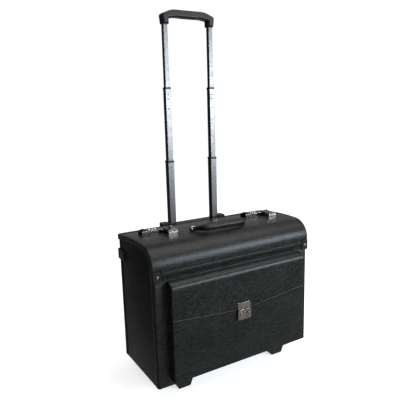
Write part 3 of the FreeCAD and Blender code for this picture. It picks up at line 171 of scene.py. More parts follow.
def woven(name, dark, light, pitch=1400.0):
    """Woven lining with crossing threads."""
    n = Nodes(name)
    parts = n.add("ShaderNodeSeparateXYZ", {0: n.stretched((pitch,) * 3)})
    warp = n.math("SINE", n.math("ADD", parts.outputs[0], parts.outputs[1]))
    weft = n.math("SINE", n.math("ADD", parts.outputs[2], n.math("MULTIPLY", parts.outputs[1], 0.6)))
    weave = n.math("MULTIPLY", warp, weft)
    fuzz = n.noise(900.0, 3.0)
    height = n.math("ADD", n.math("MULTIPLY", weave, 0.5), fuzz)
    stains = n.noise(14.0, 4.0)
    colour = n.mix(n.span(n.math("ADD", n.math("MULTIPLY", weave, 0.15), stains), 0.3, 0.8), dark, light)
    normal = n.bump(height, 0.0003, 0.6, soft_edge=0.001)
    return n.finish(Base_Color=colour, Roughness=n.span(fuzz, 0.3, 0.7, 0.78, 0.95), Normal=normal,
                    Sheen_Weight=0.25, Sheen_Roughness=0.5)


def metal(name, bright, dull, rough=(0.16, 0.34), brushed=None, bump=0.00004, soft_edge=0.0004, edge_highlight=None):
    """Bare or plated metal: scratches, smudges, lines if brushed, painted shade in its hollows and a painted
    highlight that makes its edges paler.
    """
    n = Nodes(name)
    lines = n.noise(1.0, 2.0, vector=n.stretched(brushed or (900.0, 900.0, 900.0)))
    smudge = n.noise(60.0, 4.0)
    scratch = n.noise(1.0, 1.0, vector=n.stretched((2600.0, 300.0, 1900.0)))
    colour = n.mix(n.span(n.math("ADD", n.math("MULTIPLY", lines, 0.4), smudge), 0.45, 0.95), bright, dull)
    # Painted shade: hollows found by ambient occlusion are darkened towards a near-black copy of the dull
    # colour.
    shelter = n.add("ShaderNodeAmbientOcclusion", {"Distance": 0.006}, samples=8).outputs["AO"]
    crevice_shade = tuple(0.12 * v for v in dull)
    colour = n.mix(n.span(shelter, 0.35, 0.95), crevice_shade, colour)
    if edge_highlight:
        # Painted highlight: edges, found where the bevel normal parts from the flat normal, are painted
        # paler.
        rounded = n.add("ShaderNodeBevel", {"Radius": 0.0009}, samples=6).outputs[0]
        flat = n.add("ShaderNodeNewGeometry").outputs["Normal"]
        likeness = n.add("ShaderNodeVectorMath", {0: rounded, 1: flat}, operation="DOT_PRODUCT")
        colour = n.mix(n.span(likeness.outputs["Value"], 0.99, 0.90), colour, edge_highlight)
    rough_value = n.math("ADD", n.math("MULTIPLY", smudge, 0.6), n.math("MULTIPLY", lines, 0.4))
    height = n.math("ADD", lines, n.math("MULTIPLY", scratch, 0.5))
    roughness = n.span(rough_value, 0.3, 0.7, rough[0], rough[1])
    return n.finish(Base_Color=colour, Metallic=1.0, Roughness=roughness,
                    Normal=n.bump(height, bump, 0.5, soft_edge=soft_edge))


def plastic(name, dark, light, grain=1500.0, rough=(0.36, 0.52), soft_edge=0.0007):
    """Moulded plastic with a spark-eroded texture and scuffs."""
    n = Nodes(name)
    fine = n.noise(grain, 3.0, 0.65)
    cells = n.cells(grain * 0.6)
    scuff = n.noise(1.0, 3.0, vector=n.stretched((70.0, 70.0, 260.0)))
    colour = n.mix(n.span(scuff, 0.45, 0.8), dark, light)
    roughness = n.span(n.math("ADD", scuff, n.math("MULTIPLY", fine, 0.3)), 0.4, 0.95, rough[0], rough[1])
    height = n.math("ADD", fine, n.math("MULTIPLY", cells, 0.6))
    return n.finish(Base_Color=colour, Roughness=roughness, Specular_IOR_Level=0.3,
                    Normal=n.bump(height, 0.00016, 0.45, soft_edge=soft_edge))


def rubber(name):
    """Tyre rubber: matt, dusty in its tread, with fine moulding lines."""
    n = Nodes(name)
    dust = n.noise(140.0, 4.0)
    fine = n.noise(2200.0, 2.0)
    colour = n.mix(n.span(dust, 0.45, 0.75), (0.012, 0.012, 0.012), (0.05, 0.048, 0.045))
    rings = n.math("SINE", n.add("ShaderNodeSeparateXYZ", {0: n.stretched((3200.0, 1.0, 1.0))}).outputs[0])
    height = n.math("ADD", n.math("MULTIPLY", rings, 0.3), fine)
    return n.finish(Base_Color=colour, Roughness=n.span(dust, 0.3, 0.8, 0.7, 0.92),
                    Normal=n.bump(height, 0.0003, 0.5, soft_edge=0.0008))


def thread(name, dark, light):
    """Twisted sewing thread."""
    n = Nodes(name)
    parts = n.add("ShaderNodeSeparateXYZ", {0: n.stretched((5200.0, 5200.0, 5200.0))})
    twist = n.math("SINE", parts.outputs[2])
    colour = n.mix(n.span(n.noise(700.0), 0.35, 0.7), dark, light)
    return n.finish(Base_Color=colour, Roughness=n.span(n.noise(300.0), 0.3, 0.7, 0.55, 0.75),
                    Normal=n.bump(twist, 0.0002, 0.5), Sheen_Weight=0.2)


def floor_paint(name):
    """Matt pale floor with the faintest mottle, which gives some light of its own."""
    n = Nodes(name)
    mottle = n.noise(3.0, 4.0)
    colour = n.mix(n.span(mottle, 0.3, 0.7), (0.90, 0.90, 0.90), (0.93, 0.93, 0.93))
    return n.finish(Base_Color=colour, Roughness=n.span(mottle, 0.3, 0.7, 0.8, 0.9),
                    Emission_Color=(1.0, 1.0, 1.0, 1.0), Emission_Strength=0.68,
                    Normal=n.bump(n.noise(400.0), 0.0001, 0.1))


SKIN = leather("leatherette", (0.0030, 0.0036, 0.0028), (0.0208, 0.0222, 0.0198))
MATERIALS = {
    "leatherette": SKIN,
    "lining": woven("lining", (0.016, 0.016, 0.018), (0.036, 0.036, 0.040)),
    "nickel": metal("nickel", (0.44, 0.405, 0.37), (0.24, 0.22, 0.20), rough=(0.16, 0.30),
                    edge_highlight=(0.86, 0.80, 0.74)),
    "dial_metal": metal("dial_metal", (0.42, 0.40, 0.37), (0.20, 0.19, 0.175), rough=(0.24, 0.38),
                        edge_highlight=(0.88, 0.84, 0.78)),
    "black_plastic": plastic("black_plastic", (0.010, 0.010, 0.011), (0.026, 0.026, 0.027)),
    "grip_plastic": plastic("grip_plastic", (0.0085, 0.0090, 0.0098), (0.0190, 0.0198, 0.0210),
                            rough=(0.34, 0.48)),
    "aluminium": metal("aluminium", (0.165, 0.157, 0.155), (0.135, 0.128, 0.126), rough=(0.30, 0.40),
                       brushed=(1500.0, 1500.0, 14.0), bump=0.00006),
    "tyre_rubber": rubber("tyre_rubber"),
    "steel": metal("steel", (0.62, 0.62, 0.60), (0.42, 0.42, 0.40), rough=(0.25, 0.45)),
}
# A darker copy of nickel for the latches and lock bodies: painted shade standing in for the dark reflections
# on them, with painted highlights on its edges.
SHADED_NICKEL = metal("shaded_nickel", (0.105, 0.098, 0.090), (0.050, 0.046, 0.042), rough=(0.18, 0.32),
                    edge_highlight=(0.90, 0.84, 0.78))
THREAD = thread("thread", (0.012, 0.012, 0.012), (0.03, 0.03, 0.03))
EDGE = leather("flap_edge", (0.075, 0.072, 0.066), (0.16, 0.155, 0.145), grain=1600.0, rough=(0.5, 0.7))

for part in frame["record"]["subparts"]:
    node = frame["nodes"][part["node"]]
    node.data.materials.clear()
    # Latches and lock bodies take the darker nickel copy, which is painted shade for their dark reflections.
    shaded_copy = part["node"].startswith(("latch", "lock_body"))
    node.data.materials.append(SHADED_NICKEL if shaded_copy else MATERIALS[part["material_slot"]])


SIDES = (("left", -1), ("right", 1))


# ---------------------------------------------------------------- mesh helpers

def new_piece(name, verts, faces, materials, slots=None, smooth=35.0):
    """A mesh object; slots gives each face's material number."""
    mesh = bpy.data.meshes.new(name)
    mesh.from_pydata([tuple(v) for v in verts], [], faces)
    for material in materials:
        mesh.materials.append(material)
    if slots:
        mesh.polygons.foreach_set("material_index", slots)
    piece = bpy.data.objects.new(name, mesh)
    bpy.context.scene.collection.objects.link(piece)
    tidy = bmesh.new()
    tidy.from_mesh(mesh)
    bmesh.ops.recalc_face_normals(tidy, faces=tidy.faces)
    tidy.to_mesh(mesh)
    tidy.free()
    shade(piece, smooth)
    return piece


def shade(piece, degrees):
    """Smooth shading, with edges sharper than this kept sharp."""
    mesh = piece.data
    mesh.shade_smooth()
    mesh.set_sharp_from_angle(angle=math.radians(degrees))


def settle(piece):
    """Apply all modifiers."""
    evaluated = piece.evaluated_get(bpy.context.evaluated_depsgraph_get())
    mesh = bpy.data.meshes.new_from_object(evaluated)
    piece.modifiers.clear()
    piece.data = mesh
    return piece


def carve(piece, tool, operation="DIFFERENCE"):
    """Boolean with a tool, which is then removed."""
    step = piece.modifiers.new("carve", "BOOLEAN")
    step.object = tool
    step.operation = operation
    step.solver = "EXACT"
    settle(piece)
    bpy.data.objects.remove(tool)
    return piece


def bevel(piece, width, segments=3, degrees=40.0, smooth=40.0):
    """Round every edge sharper than the given angle."""
    step = piece.modifiers.new("bevel", "BEVEL")
    step.width = width
    step.segments = segments
    step.limit_method = "ANGLE"
    step.angle_limit = math.radians(degrees)
    settle(piece)
    shade(piece, smooth)
    return piece


def prism(name, outline, low, high, axis=0):
    """A flat outline pulled along one axis; the outline gives the two other axes in order."""
    count = len(outline)
    others = [a for a in range(3) if a != axis]
    verts = []
    for level in (low, high):
        for point in outline:
            spot = [0.0, 0.0, 0.0]
            spot[axis] = level
            spot[others[0]], spot[others[1]] = point
            verts.append(spot)
    faces = [list(range(count)), list(range(count, 2 * count))]
    faces += [(i, (i + 1) % count, count + (i + 1) % count, count + i) for i in range(count)]
    return new_piece(name, verts, faces, [])


def box(name, low, high):
    """A block between two corners, used for cutting and as a start for padding."""
    return prism(name, [(low[1], low[2]), (high[1], low[2]), (high[1], high[2]), (low[1], high[2])],
                 low[0], high[0])


def tube_faces(rings, around, start=0):
    """Faces of a closed tube whose points come ring by ring, with both ends capped."""
    faces = []
    for ring in range(rings - 1):
        for k in range(around):
            a = start + ring * around
            after = (k + 1) % around
            faces.append((a + k, a + after, a + around + after, a + around + k))
    last = start + (rings - 1) * around
    return faces + [[start + k for k in range(around)], [last + k for k in range(around)]]


def sheet_faces(columns, rows):
    """Faces of a sheet whose points come column by column."""
    return [(i * rows + k, i * rows + k + 1, (i + 1) * rows + k + 1, (i + 1) * rows + k)
            for i in range(columns - 1) for k in range(rows - 1)]


def thicken(piece, thickness, offset):
    """Give a sheet its thickness: offset 0 on both sides, -1 all on the inner side."""
    step = piece.modifiers.new("thickness", "SOLIDIFY")
    step.thickness = thickness
    step.offset = offset
    return settle(piece)


def rounded_plan(half_x, y0, y1, radius, steps=8):
    """Plan of a block with rounded upright corners."""
    points = []
    corners = ((half_x - radius, y0 + radius, -90), (half_x - radius, y1 - radius, 0),
               (-half_x + radius, y1 - radius, 90), (-half_x + radius, y0 + radius, 180))
    for x, y, start in corners:
        for i in range(steps + 1):
            angle = math.radians(start + 90 * i / steps)
            points.append((x + radius * math.cos(angle), y + radius * math.sin(angle)))
    return points


def stitches(name, points, normals, pitch, length, radius):
    """Thread stitches along a line of points, each a small pill pressed into the surface."""
    rings = [(-0.5, 0.25), (-0.38, 0.85), (0.0, 1.0), (0.38, 0.85), (0.5, 0.25)]
    around = 6
    verts, faces = [], []
    for place, normal, along in walk(points, normals, pitch):
        side = along.cross(normal).normalized()
        start = len(verts)
        for reach, swell in rings:
            for k in range(around):
                angle = math.tau * k / around
                offset = side * math.cos(angle) * radius * swell + normal * math.sin(angle) * radius * swell
                dip = normal * radius * (0.35 - 2.2 * abs(reach) ** 2)
                verts.append(place + along * length * reach + offset + dip)
        faces += tube_faces(len(rings), around, start)
    return new_piece(name, verts, faces, [THREAD], smooth=70.0)


def walk(points, normals, pitch):
    """Evenly spaced places along a line, with normal and direction."""
    points = [Vector(p) for p in points]
    found = []
    left = pitch / 2
    for i in range(len(points) - 1):
        run = points[i + 1] - points[i]
        if run.length < 1e-9:
            continue
        along = run.normalized()
        while left < run.length:
            share = left / run.length
            normal = Vector(normals[i]).lerp(Vector(normals[i + 1]), share).normalized()
            found.append((points[i] + run * share, normal, along))
            left += pitch
        left -= run.length
    return found


# ---------------------------------------------------------------- lids

def lid_stations(start_z, first_y, last_y, steps=40):
    """Points and outward directions along the lids' outside, from front to back."""
    stations = []
    crown_y, crown_z, crown_r = CROWN
    front_y, front_z, front_r = FRONT_ROUND
    join = math.atan2(front_z - crown_z, front_y - crown_y)
    if start_z is not None:
        stations += [(front_y - front_r, start_z + (front_z - start_z) * i / 4, -1.0, 0.0) for i in range(4)]
        for i in range(26):
            angle = math.pi + (join - math.pi) * i / 26
            stations.append((front_y + front_r * math.cos(angle), front_z + front_r * math.sin(angle),
                             math.cos(angle), math.sin(angle)))
        first = join
    else:
        first = math.acos((first_y - crown_y) / crown_r)
    last = math.acos((last_y - crown_y) / crown_r)
    for i in range(steps + 1):
        angle = first + (last - first) * i / steps
        stations.append((crown_y + crown_r * math.cos(angle), crown_z + crown_r * math.sin(angle),
                         math.cos(angle), math.sin(angle)))
    return stations


def lid_section():
    """Cross-section of a lid as (x, depth, inside?), with the wrapped edges rounded."""
    wall, lip, drop, round_r = 4 * MM, 3 * MM, 14 * MM, 2.4 * MM
    outer_chamfer, inner_chamfer = 0.8 * MM, 0.6 * MM
    right = []
    for i in range(7):
        angle = math.radians(90 - 15 * i)
        across, down = math.cos(angle), math.sin(angle)
        right.append((LID_HALF - round_r + round_r * across, round_r - round_r * down, 0))
    inner = LID_HALF - lip
    right += [(LID_HALF, drop - outer_chamfer, 0), (LID_HALF - outer_chamfer, drop, 0),
              (inner + inner_chamfer, drop, 1), (inner, drop - inner_chamfer, 1), (inner, wall, 1)]
    left = [(-x, depth, inside) for x, depth, inside in reversed(right)]
    top = [(LID_HALF * (i / 12 - 1) * 0.97, 0.0, 0) for i in range(1, 24)]
    return left + top + right


def make_lid(name, body, start_z, first_y, last_y):
    """A lid: its cross-section carried along its stations, with room for the front tabs."""
    stations = lid_stations(start_z, first_y, last_y)
    section = lid_section()
    verts, faces, slots = [], [], []
    count = len(section)
    for y, z, out_y, out_z in stations:
        for x, depth, inside in section:
            verts.append((x, y - out_y * depth, z - out_z * depth))
    for s in range(len(stations) - 1):
        for k in range(count):
            after = (k + 1) % count
            faces.append((s * count + k, s * count + after, (s + 1) * count + after, (s + 1) * count + k))
            slots.append(1 if section[k][2] and section[after][2] else 0)
    last = (len(stations) - 1) * count
    faces += [list(range(count)), [last + k for k in range(count)]]
    slots += [0, 0]
    lid = new_piece(name, verts, faces, [SKIN, MATERIALS["lining"]], slots)
    if start_z is not None:
        for side in (-1, 1):
            edges = sorted((side * 0.2165, side * 0.2400))
            carve(lid, box("notch", (edges[0], -0.155, start_z - 0.001), (edges[1], -0.060, 0.335)))
    bevel(lid, 0.7 * MM, 2, degrees=55.0)
    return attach(lid, body)


def lid_stitching(name, body, start_z, first_y, last_y):
    """A row of stitches near each side edge of a lid."""
    from_edge = 6.5 * MM
    stations = lid_stations(start_z, first_y, last_y)
    for side, sign in SIDES:
        line = [(sign * (LID_HALF - from_edge), y, z) for y, z, out_y, out_z in stations]
        outward = [(0.0, out_y, out_z) for y, z, out_y, out_z in stations]
        row = stitches(f"{name}_{side}", line, outward, *STITCH)
        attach(row, body)


front_lid = make_lid("front_lid_cover", "front_lid", LID_LOW, None, 0.0007)
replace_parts(front_lid, "front_lid")
rear_lid = make_lid("rear_lid_cover", "rear_lid", None, 0.0013, 0.105)
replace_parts(rear_lid, "rear_lid")
lid_stitching("front_lid_stitching", "front_lid", 0.338, None, -0.003)
lid_stitching("rear_lid_stitching", "rear_lid", None, 0.005, 0.101)


# ---------------------------------------------------------------- box

def make_case():
    """Leatherette-covered box with lined inside, rounded upright edges and room for the wheels."""
    plan = rounded_plan(HALF_WIDTH, -HALF_DEPTH, HALF_DEPTH, EDGE_ROUND)
    above, beyond = 0.450, HALF_DEPTH + 10 * MM
    shell = prism("case_cover", plan, BOX_LOW, 0.400, axis=2)
    under_lid = 4.6 * MM
    front_top, back_top = LID_LOW - 0.6 * MM, 0.373
    profile = [(beyond, 0.030), (-beyond, 0.030), (-beyond, front_top), (-0.1034, front_top)]
    profile += [(y - out_y * under_lid, z - out_z * under_lid)
                for y, z, out_y, out_z in lid_stations(LID_LOW, None, beyond)]
    carve(shell, prism("lid_line", profile, -0.3, 0.3), "INTERSECT")
    room_low = BOX_LOW + 8 * MM
    carve(shell, box("inside", (-ROOM_HALF, -ROOM_DEPTH, room_low), (ROOM_HALF, ROOM_DEPTH, above)))
    carve(shell, box("front_opening", (-ROOM_HALF, -0.12, front_top), (ROOM_HALF, -0.08, above)))
    carve(shell, box("back_opening", (-ROOM_HALF, 0.08, back_top), (ROOM_HALF, 0.12, above)))
    wheel_x, wheel_room = 0.165, 16 * MM
    for side, sign in SIDES:
        low = (sign * wheel_x - wheel_room, 0.075, 0.02)
        carve(shell, box("wheel_room", low, (sign * wheel_x + wheel_room, 0.12, 0.063)))
    mesh = shell.data
    mesh.materials.clear()
    for material in (SKIN, MATERIALS["lining"]):
        mesh.materials.append(material)
    near = 0.2 * MM
    for face in mesh.polygons:
        x, y, z = face.center
        inside = abs(x) < ROOM_HALF + near and abs(y) < ROOM_DEPTH + near and z > room_low - near
        face.material_index = 1 if inside else 0
    bevel(shell, 1.6 * MM, 3, degrees=50.0)
    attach(shell, "case")
    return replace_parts(shell, "bottom_panel", "front_panel", "back_panel", "side_panel_left",
                       "side_panel_right")


def wrap_band(name, sign, high_z):
    """The end board's covering, lapped round both upright edges and onto the sides."""
    reach, thickness, sunk = 15 * MM, 0.8 * MM, 0.4 * MM
    low_z = BOX_LOW + 0.1 * MM
    radius = EDGE_ROUND
    edge_y = sign * HALF_DEPTH
    outer, inner = [], []
    for side in (-1, 1):
        ring = []
        for grow in (thickness, -sunk):
            turn = [(side * (HALF_WIDTH + grow), edge_y - sign * reach)]
            for i in range(9):
                angle = math.radians(90 * i / 8)
                turn.append((side * (HALF_WIDTH - radius + (radius + grow) * math.cos(angle)),
                             edge_y - sign * radius + sign * (radius + grow) * math.sin(angle)))
            ring.append(turn)
        if side < 0:
            outer, inner = ring
        else:
            outer = outer + ring[0][::-1]
            inner = inner + ring[1][::-1]
    band = prism(name, outer + inner[::-1], low_z, high_z, axis=2)
    band.data.materials.append(SKIN)
    bevel(band, 0.35 * MM, 2, degrees=50.0)
    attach(band, "case")
    from_edge, from_end = 2.4 * MM, 2 * MM
    for where, side in SIDES:
        x = side * (HALF_WIDTH + thickness)
        y = edge_y - sign * (reach - from_edge)
        line = [(x, y, low_z + from_end), (x, y, high_z - from_end)]
        row = stitches(f"{name}_stitching_{where}", line, [(side, 0, 0)] * 2, *STITCH)
        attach(row, "case")


make_case()
wrap_band("front_wrap", -1, 0.3185)
wrap_band("back_wrap", 1, 0.366)


# ---------------------------------------------------------------- front pocket

POCKET_HALF = 0.202


def make_pocket():
    """Pocket box with rounded upright edges, open under the flap."""
    front, back, low, top = -0.129, -0.100, 0.054, 0.3042
    past_side, above, wall = 0.210, 0.310, 3 * MM
    room = POCKET_HALF - wall
    shell = prism("pocket_cover", rounded_plan(POCKET_HALF, front, back, 4 * MM), low, top, axis=2)
    carve(shell, box("pocket_back", (-past_side, -0.1049, 0.05), (past_side, -0.09, above)))
    carve(shell, box("pocket_room", (-room, front + wall, low + wall), (room, back, 0.302)))
    carve(shell, box("pocket_mouth", (-room, -0.135, 0.263), (room, -0.1232, above)))
    carve(shell, box("pocket_step", (-past_side, -0.135, 0.2964), (past_side, -0.1165, above)))
    shell.data.materials.clear()
    shell.data.materials.append(SKIN)
    bevel(shell, 0.9 * MM, 3, degrees=50.0)
    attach(shell, "case")
    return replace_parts(shell, "pocket_base", "pocket_top", "pocket_front", "pocket_side_left",
                       "pocket_side_right")


FLAP_HALF = 0.2035
FLAP_FACE = -0.1318
FLAP_TOP = 0.3068
FLAP_THICKNESS = 2.4 * MM
CLASP_HALF = 0.0195
ROLL = 18 * MM


def flap_edge_height(x):
    """Height of the flap's V edge."""
    lowest, rise = 0.197, 0.017
    share = max(0.0, (abs(x) - CLASP_HALF) / (POCKET_HALF - CLASP_HALF))
    return lowest + rise * share


def flap_column(x):
    """The flap's outside at one x, from the case's front over the roll to the V edge."""
    fade = min(1.0, (FLAP_HALF - abs(x)) / (9 * MM))
    ease = 0.55 + 0.45 * math.sin(max(0.0, fade) * math.pi / 2)
    top = FLAP_TOP - (1 - ease) * FLAP_THICKNESS
    points = [(-0.1046, top), (-0.1085, top + 0.3 * MM), (FLAP_FACE + ROLL, top)]
    centre = (FLAP_FACE + ROLL, top - ROLL)
    for i in range(1, 13):
        angle = math.radians(90 + 90 * i / 12)
        points.append((centre[0] + ROLL * math.cos(angle), centre[1] + ROLL * math.sin(angle)))
    end = flap_edge_height(x)
    start = points[-1][1]
    for i in range(1, 15):
        points.append((FLAP_FACE, start + (end - start) * i / 14))
    return points


def make_flap():
    """Flap: one sheet that leaves the case, rolls over the pocket's top and hangs to a shallow V."""
    steps = 96
    xs = {round(FLAP_HALF * (2 * i / steps - 1), 6) for i in range(steps + 1)}
    xs = sorted(xs | {-CLASP_HALF, CLASP_HALF})
    columns = [flap_column(x) for x in xs]
    verts = [(x, y, z) for x, column in zip(xs, columns) for y, z in column]
    flap = new_piece("pocket_flap_sheet", verts, sheet_faces(len(xs), len(columns[0])), [SKIN])
    thicken(flap, FLAP_THICKNESS, -1.0)
    bevel(flap, 0.6 * MM, 2, degrees=60.0)
    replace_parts(flap, "pocket_flap")
    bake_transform(flap)


def make_flap_edge():
    """Pale cut edge of the flap's sheet, seen as a thin line along the V."""
    end = POCKET_HALF + 0.8 * MM
    xs = [-end, -CLASP_HALF, CLASP_HALF, end]
    section = [(-0.3, 0.05), (-0.3, 0.65), (1.2, 0.8), (2.2, 0.4), (1.6, -0.25), (0.1, -0.25)]
    verts = [(x, FLAP_FACE + back * MM, flap_edge_height(x) + up * MM) for x in xs for back, up in section]
    edge = new_piece("flap_edge", verts, tube_faces(len(xs), len(section)), [EDGE], smooth=50.0)
    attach(edge, "pocket_flap")


make_pocket()
make_flap()
make_flap_edge()


# ---------------------------------------------------------------- hinge strips

def strip(name, profile, half):
    """A strip of covering across the width, bent to a fixed profile along a lid's hinge line."""
    steps = 60
    xs = [half * (2 * i / steps - 1) for i in range(steps + 1)]
    verts = [(x, y, z) for x in xs for y, z in profile]
    piece = new_piece(name, verts, sheet_faces(len(xs), len(profile)), [SKIN])
    thicken(piece, 1.0 * MM, 0.0)
    bevel(piece, 0.3 * MM, 2, degrees=60.0)
    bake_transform(piece)


front_profile = [(-0.1055, 0.3085), (-0.1056, 0.3120), (-0.1058, 0.3150), (-0.1063, 0.3170),
                 (-0.1072, 0.3188), (-0.1082, 0.3205), (-0.1085, 0.3225), (-0.1085, 0.3255),
                 (-0.1085, 0.3290)]
strip("front_lid_hinge_strip", front_profile, 0.2155)
back_profile = [(0.1055, 0.3600), (0.1055, 0.3660), (0.1055, 0.3715), (0.1056, 0.3745), (0.1057, 0.3770),
                (0.1057, 0.3792), (0.1050, 0.3802), (0.1035, 0.3806), (0.0985, 0.3816), (0.0940, 0.3824)]
strip("rear_lid_hinge_strip", back_profile, 0.2340)


# ---------------------------------------------------------------- trolley pins

def node_box(name):
    """Lowest and highest corner of a CAD node."""
    node = frame["nodes"][name]
    spots = [node.matrix_world @ v.co for v in node.data.vertices]
    return [min(s[a] for s in spots) for a in range(3)], [max(s[a] for s in spots) for a in range(3)]


def make_pin(name, stage, sign, below, radius):
    """Black spring pin in one of the holes down the front of a stage's tubes."""
    low, high = node_box(f"{stage}_tubes")
    x, y, z = sign * (high[0] - (high[1] - low[1]) / 2), low[1], high[2] - below
    around = 20
    rings = ((1.0, 0.9), (1.0, 0.15), (0.9, 0.0), (0.6, -0.12), (0.25, -0.18))
    verts = []
    for reach, back in rings:
        for k in range(around):
            angle = math.tau * k / around
            across, up = radius * reach * math.cos(angle), radius * reach * math.sin(angle)
            verts.append((x + across, y + back * MM, z + up))
    pin = new_piece(name, verts, tube_faces(len(rings), around), [MATERIALS["black_plastic"]], smooth=50.0)
    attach(pin, f"{stage}_stage")


# Distance below the top of the tube, and radius.
PIN_ROWS = ((14 * MM, 1.7 * MM), (26.5 * MM, 1.7 * MM), (52 * MM, 1.2 * MM))
for stage in ("lower", "middle"):
    for side, sign in SIDES:
        for number, (below, radius) in enumerate(PIN_ROWS, 1):
            make_pin(f"{stage}_pin_{side}_{number}", stage, sign, below, radius)


# ---------------------------------------------------------------- soft goods

def inflate(piece, voxel, pressure, cap):
    """Puff a closed mesh with cloth under pressure; no point moves further than cap."""
    frames = 16
    step = piece.modifiers.new("remesh", "REMESH")
    step.mode = "VOXEL"
    step.voxel_size = voxel
    settle(piece)
    before = [v.co.copy() for v in piece.data.vertices]
    cloth = piece.modifiers.new("cloth", "CLOTH")
    cloth.settings.use_pressure = True
    cloth.settings.uniform_pressure_force = pressure
    cloth.settings.effector_weights.gravity = 0.0
    cloth.settings.quality = 5
    cloth.settings.tension_stiffness = 30.0
    cloth.settings.bending_stiffness = 2.0
    cloth.point_cache.frame_end = frames + 1
    scene = bpy.context.scene
    for number in range(1, frames + 1):
        scene.frame_set(number)
    settle(piece)
    scene.frame_set(1)
    for vertex, old in zip(piece.data.vertices, before):
        move = vertex.co - old
        if move.length > cap:
            vertex.co = old + move * (cap / move.length)
    smooth = piece.modifiers.new("smooth", "SMOOTH")
    smooth.factor = 0.5
    smooth.iterations = 3
    finer = piece.modifiers.new("finer", "SUBSURF")
    finer.levels = 1
    settle(piece)
    shade(piece, 75.0)
    return piece


# Places along the carry handle and its radius at each, in millimetres.
HANDLE_PATH = ((-74.0, -22.0, 396.0), (-66.5, -35.0, 398.4), (-55.0, -46.5, 400.9), (-30.0, -48.6, 401.6),
               (0.0, -49.0, 401.7), (30.0, -48.6, 401.6), (55.0, -46.5, 400.9), (66.5, -35.0, 398.4),
               (74.0, -22.0, 396.0))
# Direction from the handle's middle to its seam.
SEAM_SIDE = Vector((0.0, 0.55, -0.83))
HANDLE_SWELL = (5.2, 7.3, 9.8, 10.8, 11.0, 10.8, 9.8, 7.3, 5.2)


def handle_stations(count=61):
    """Middle, direction and radius along the carry handle, on a smooth curve through its path."""
    points = [Vector(p) * MM for p in HANDLE_PATH]
    last = len(points) - 1
    found = []
    for i in range(count):
        place = last * i / (count - 1)
        k = min(int(place), last - 1)
        t = place - k
        a, b, c, d = (points[max(0, min(last, k + j))] for j in (-1, 0, 1, 2))
        bow, twist = 2 * a - 5 * b + 4 * c - d, 3 * b - a - 3 * c + d
        middle = 0.5 * ((2 * b) + (c - a) * t + bow * t ** 2 + twist * t ** 3)
        ahead = 0.5 * ((c - a) + 2 * bow * t + 3 * twist * t ** 2)
        ease = t * t * (3 - 2 * t)
        swell = HANDLE_SWELL[k] + (HANDLE_SWELL[k + 1] - HANDLE_SWELL[k]) * ease
        found.append((middle, ahead.normalized(), swell * MM))
    return found


def make_handle():
    """Padded grip, swept, puffed with cloth and then sewn along its inner side."""
    wide, high = 1.10, 0.93
    verts = []
    around = 20
    stations = handle_stations()
    for middle, ahead, radius in stations:
        side = ahead.cross(Vector((0, 0, 1))).normalized()
        up = side.cross(ahead)
        for k in range(around):
            angle = math.tau * k / around
            across = side * math.cos(angle) * radius * wide
            verts.append(middle + across + up * math.sin(angle) * radius * high)
    grip = new_piece("carry_handle_grip", verts, tube_faces(len(stations), around), [SKIN])
    inflate(grip, 2.0 * MM, 3.0, 0.7 * MM)
    crease(grip)
    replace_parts(grip, "handle_grip")
    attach(grip, "carry_handle")


def crease(grip):
    """Fine cross wrinkles in the covering where the handle bends, and a sewn channel on its inner side."""
    bend_x, bend_run = 60 * MM, 10 * MM
    wrinkle, channel = 0.16 * MM, 0.55 * MM
    middles = [station[0] for station in handle_stations(121)]
    for vertex in grip.data.vertices:
        middle = min(middles, key=lambda m: (vertex.co - m).length_squared)
        out = (vertex.co - middle).normalized()
        bend = math.exp(-((abs(middle.x) - bend_x) / bend_run) ** 2)
        ripple = math.sin(middle.x * 1900.0 + 1.3 * math.sin(vertex.co.z * 700.0))
        inner = max(0.0, out.dot(SEAM_SIDE))
        vertex.co += out * (wrinkle * bend * ripple - channel * inner ** 24)


def sew_handle():
    """Stitches along the handle's inner, lower side, a little sunk."""
    sunk = 0.1 * MM
    line, outward = [], []
    for middle, ahead, radius in handle_stations()[5:-5]:
        out = (SEAM_SIDE - ahead * ahead.dot(SEAM_SIDE)).normalized()
        line.append(middle + out * (radius - sunk))
        outward.append(out)
    row = stitches("handle_stitching", line, outward, 3.6 * MM, 2.7 * MM, 0.3 * MM)
    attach(row, "carry_handle")


def make_handle_loops():
    """Leather loops that hold the rings' rods, one at each end of the grip."""
    end_x, end_y, end_z = (v * MM for v in HANDLE_PATH[-1])
    length = 12 * MM
    around, rows = 24, 9
    for side, sign in SIDES:
        verts = []
        for i in range(rows):
            share = i / (rows - 1)
            x = sign * end_x + (share - 0.5) * length
            radius = (3.9 - 0.7 * abs(2 * share - 1) ** 6) * MM
            for k in range(around):
                angle = math.tau * k / around
                stretch = 1.0 + 0.55 * max(0.0, -math.cos(angle)) ** 2
                across, up = radius * math.cos(angle) * stretch, radius * math.sin(angle)
                verts.append((x, end_y + across, end_z + up))
        loop = new_piece(f"handle_loop_{side}", verts, tube_faces(rows, around), [SKIN])
        bevel(loop, 0.4 * MM, 2, degrees=60.0)
        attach(loop, "carry_handle")


def make_divider():
    """Padded board inside: puffed cover with sewn channels."""
    middle, channel = -0.0230, 3.5 * MM
    board = box("divider_pad", (-0.2262, -0.0262, 0.0445), (0.2262, -0.0198, 0.3285))
    board.data.materials.append(MATERIALS["lining"])
    inflate(board, 4.0 * MM, 4.0, 1.2 * MM)
    for vertex in board.data.vertices:
        x, y, z = vertex.co
        lines = [abs(x - line) for line in (-0.1135, 0.0, 0.1135)]
        lines += [abs(abs(x) - 0.217), abs(z - 0.318), abs(z - 0.055)]
        dent = math.exp(-(min(lines) / channel) ** 2)
        vertex.co.y = middle + (y - middle) * (1.0 - 0.34 * dent)
    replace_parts(board, "divider")
    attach(board, "case")


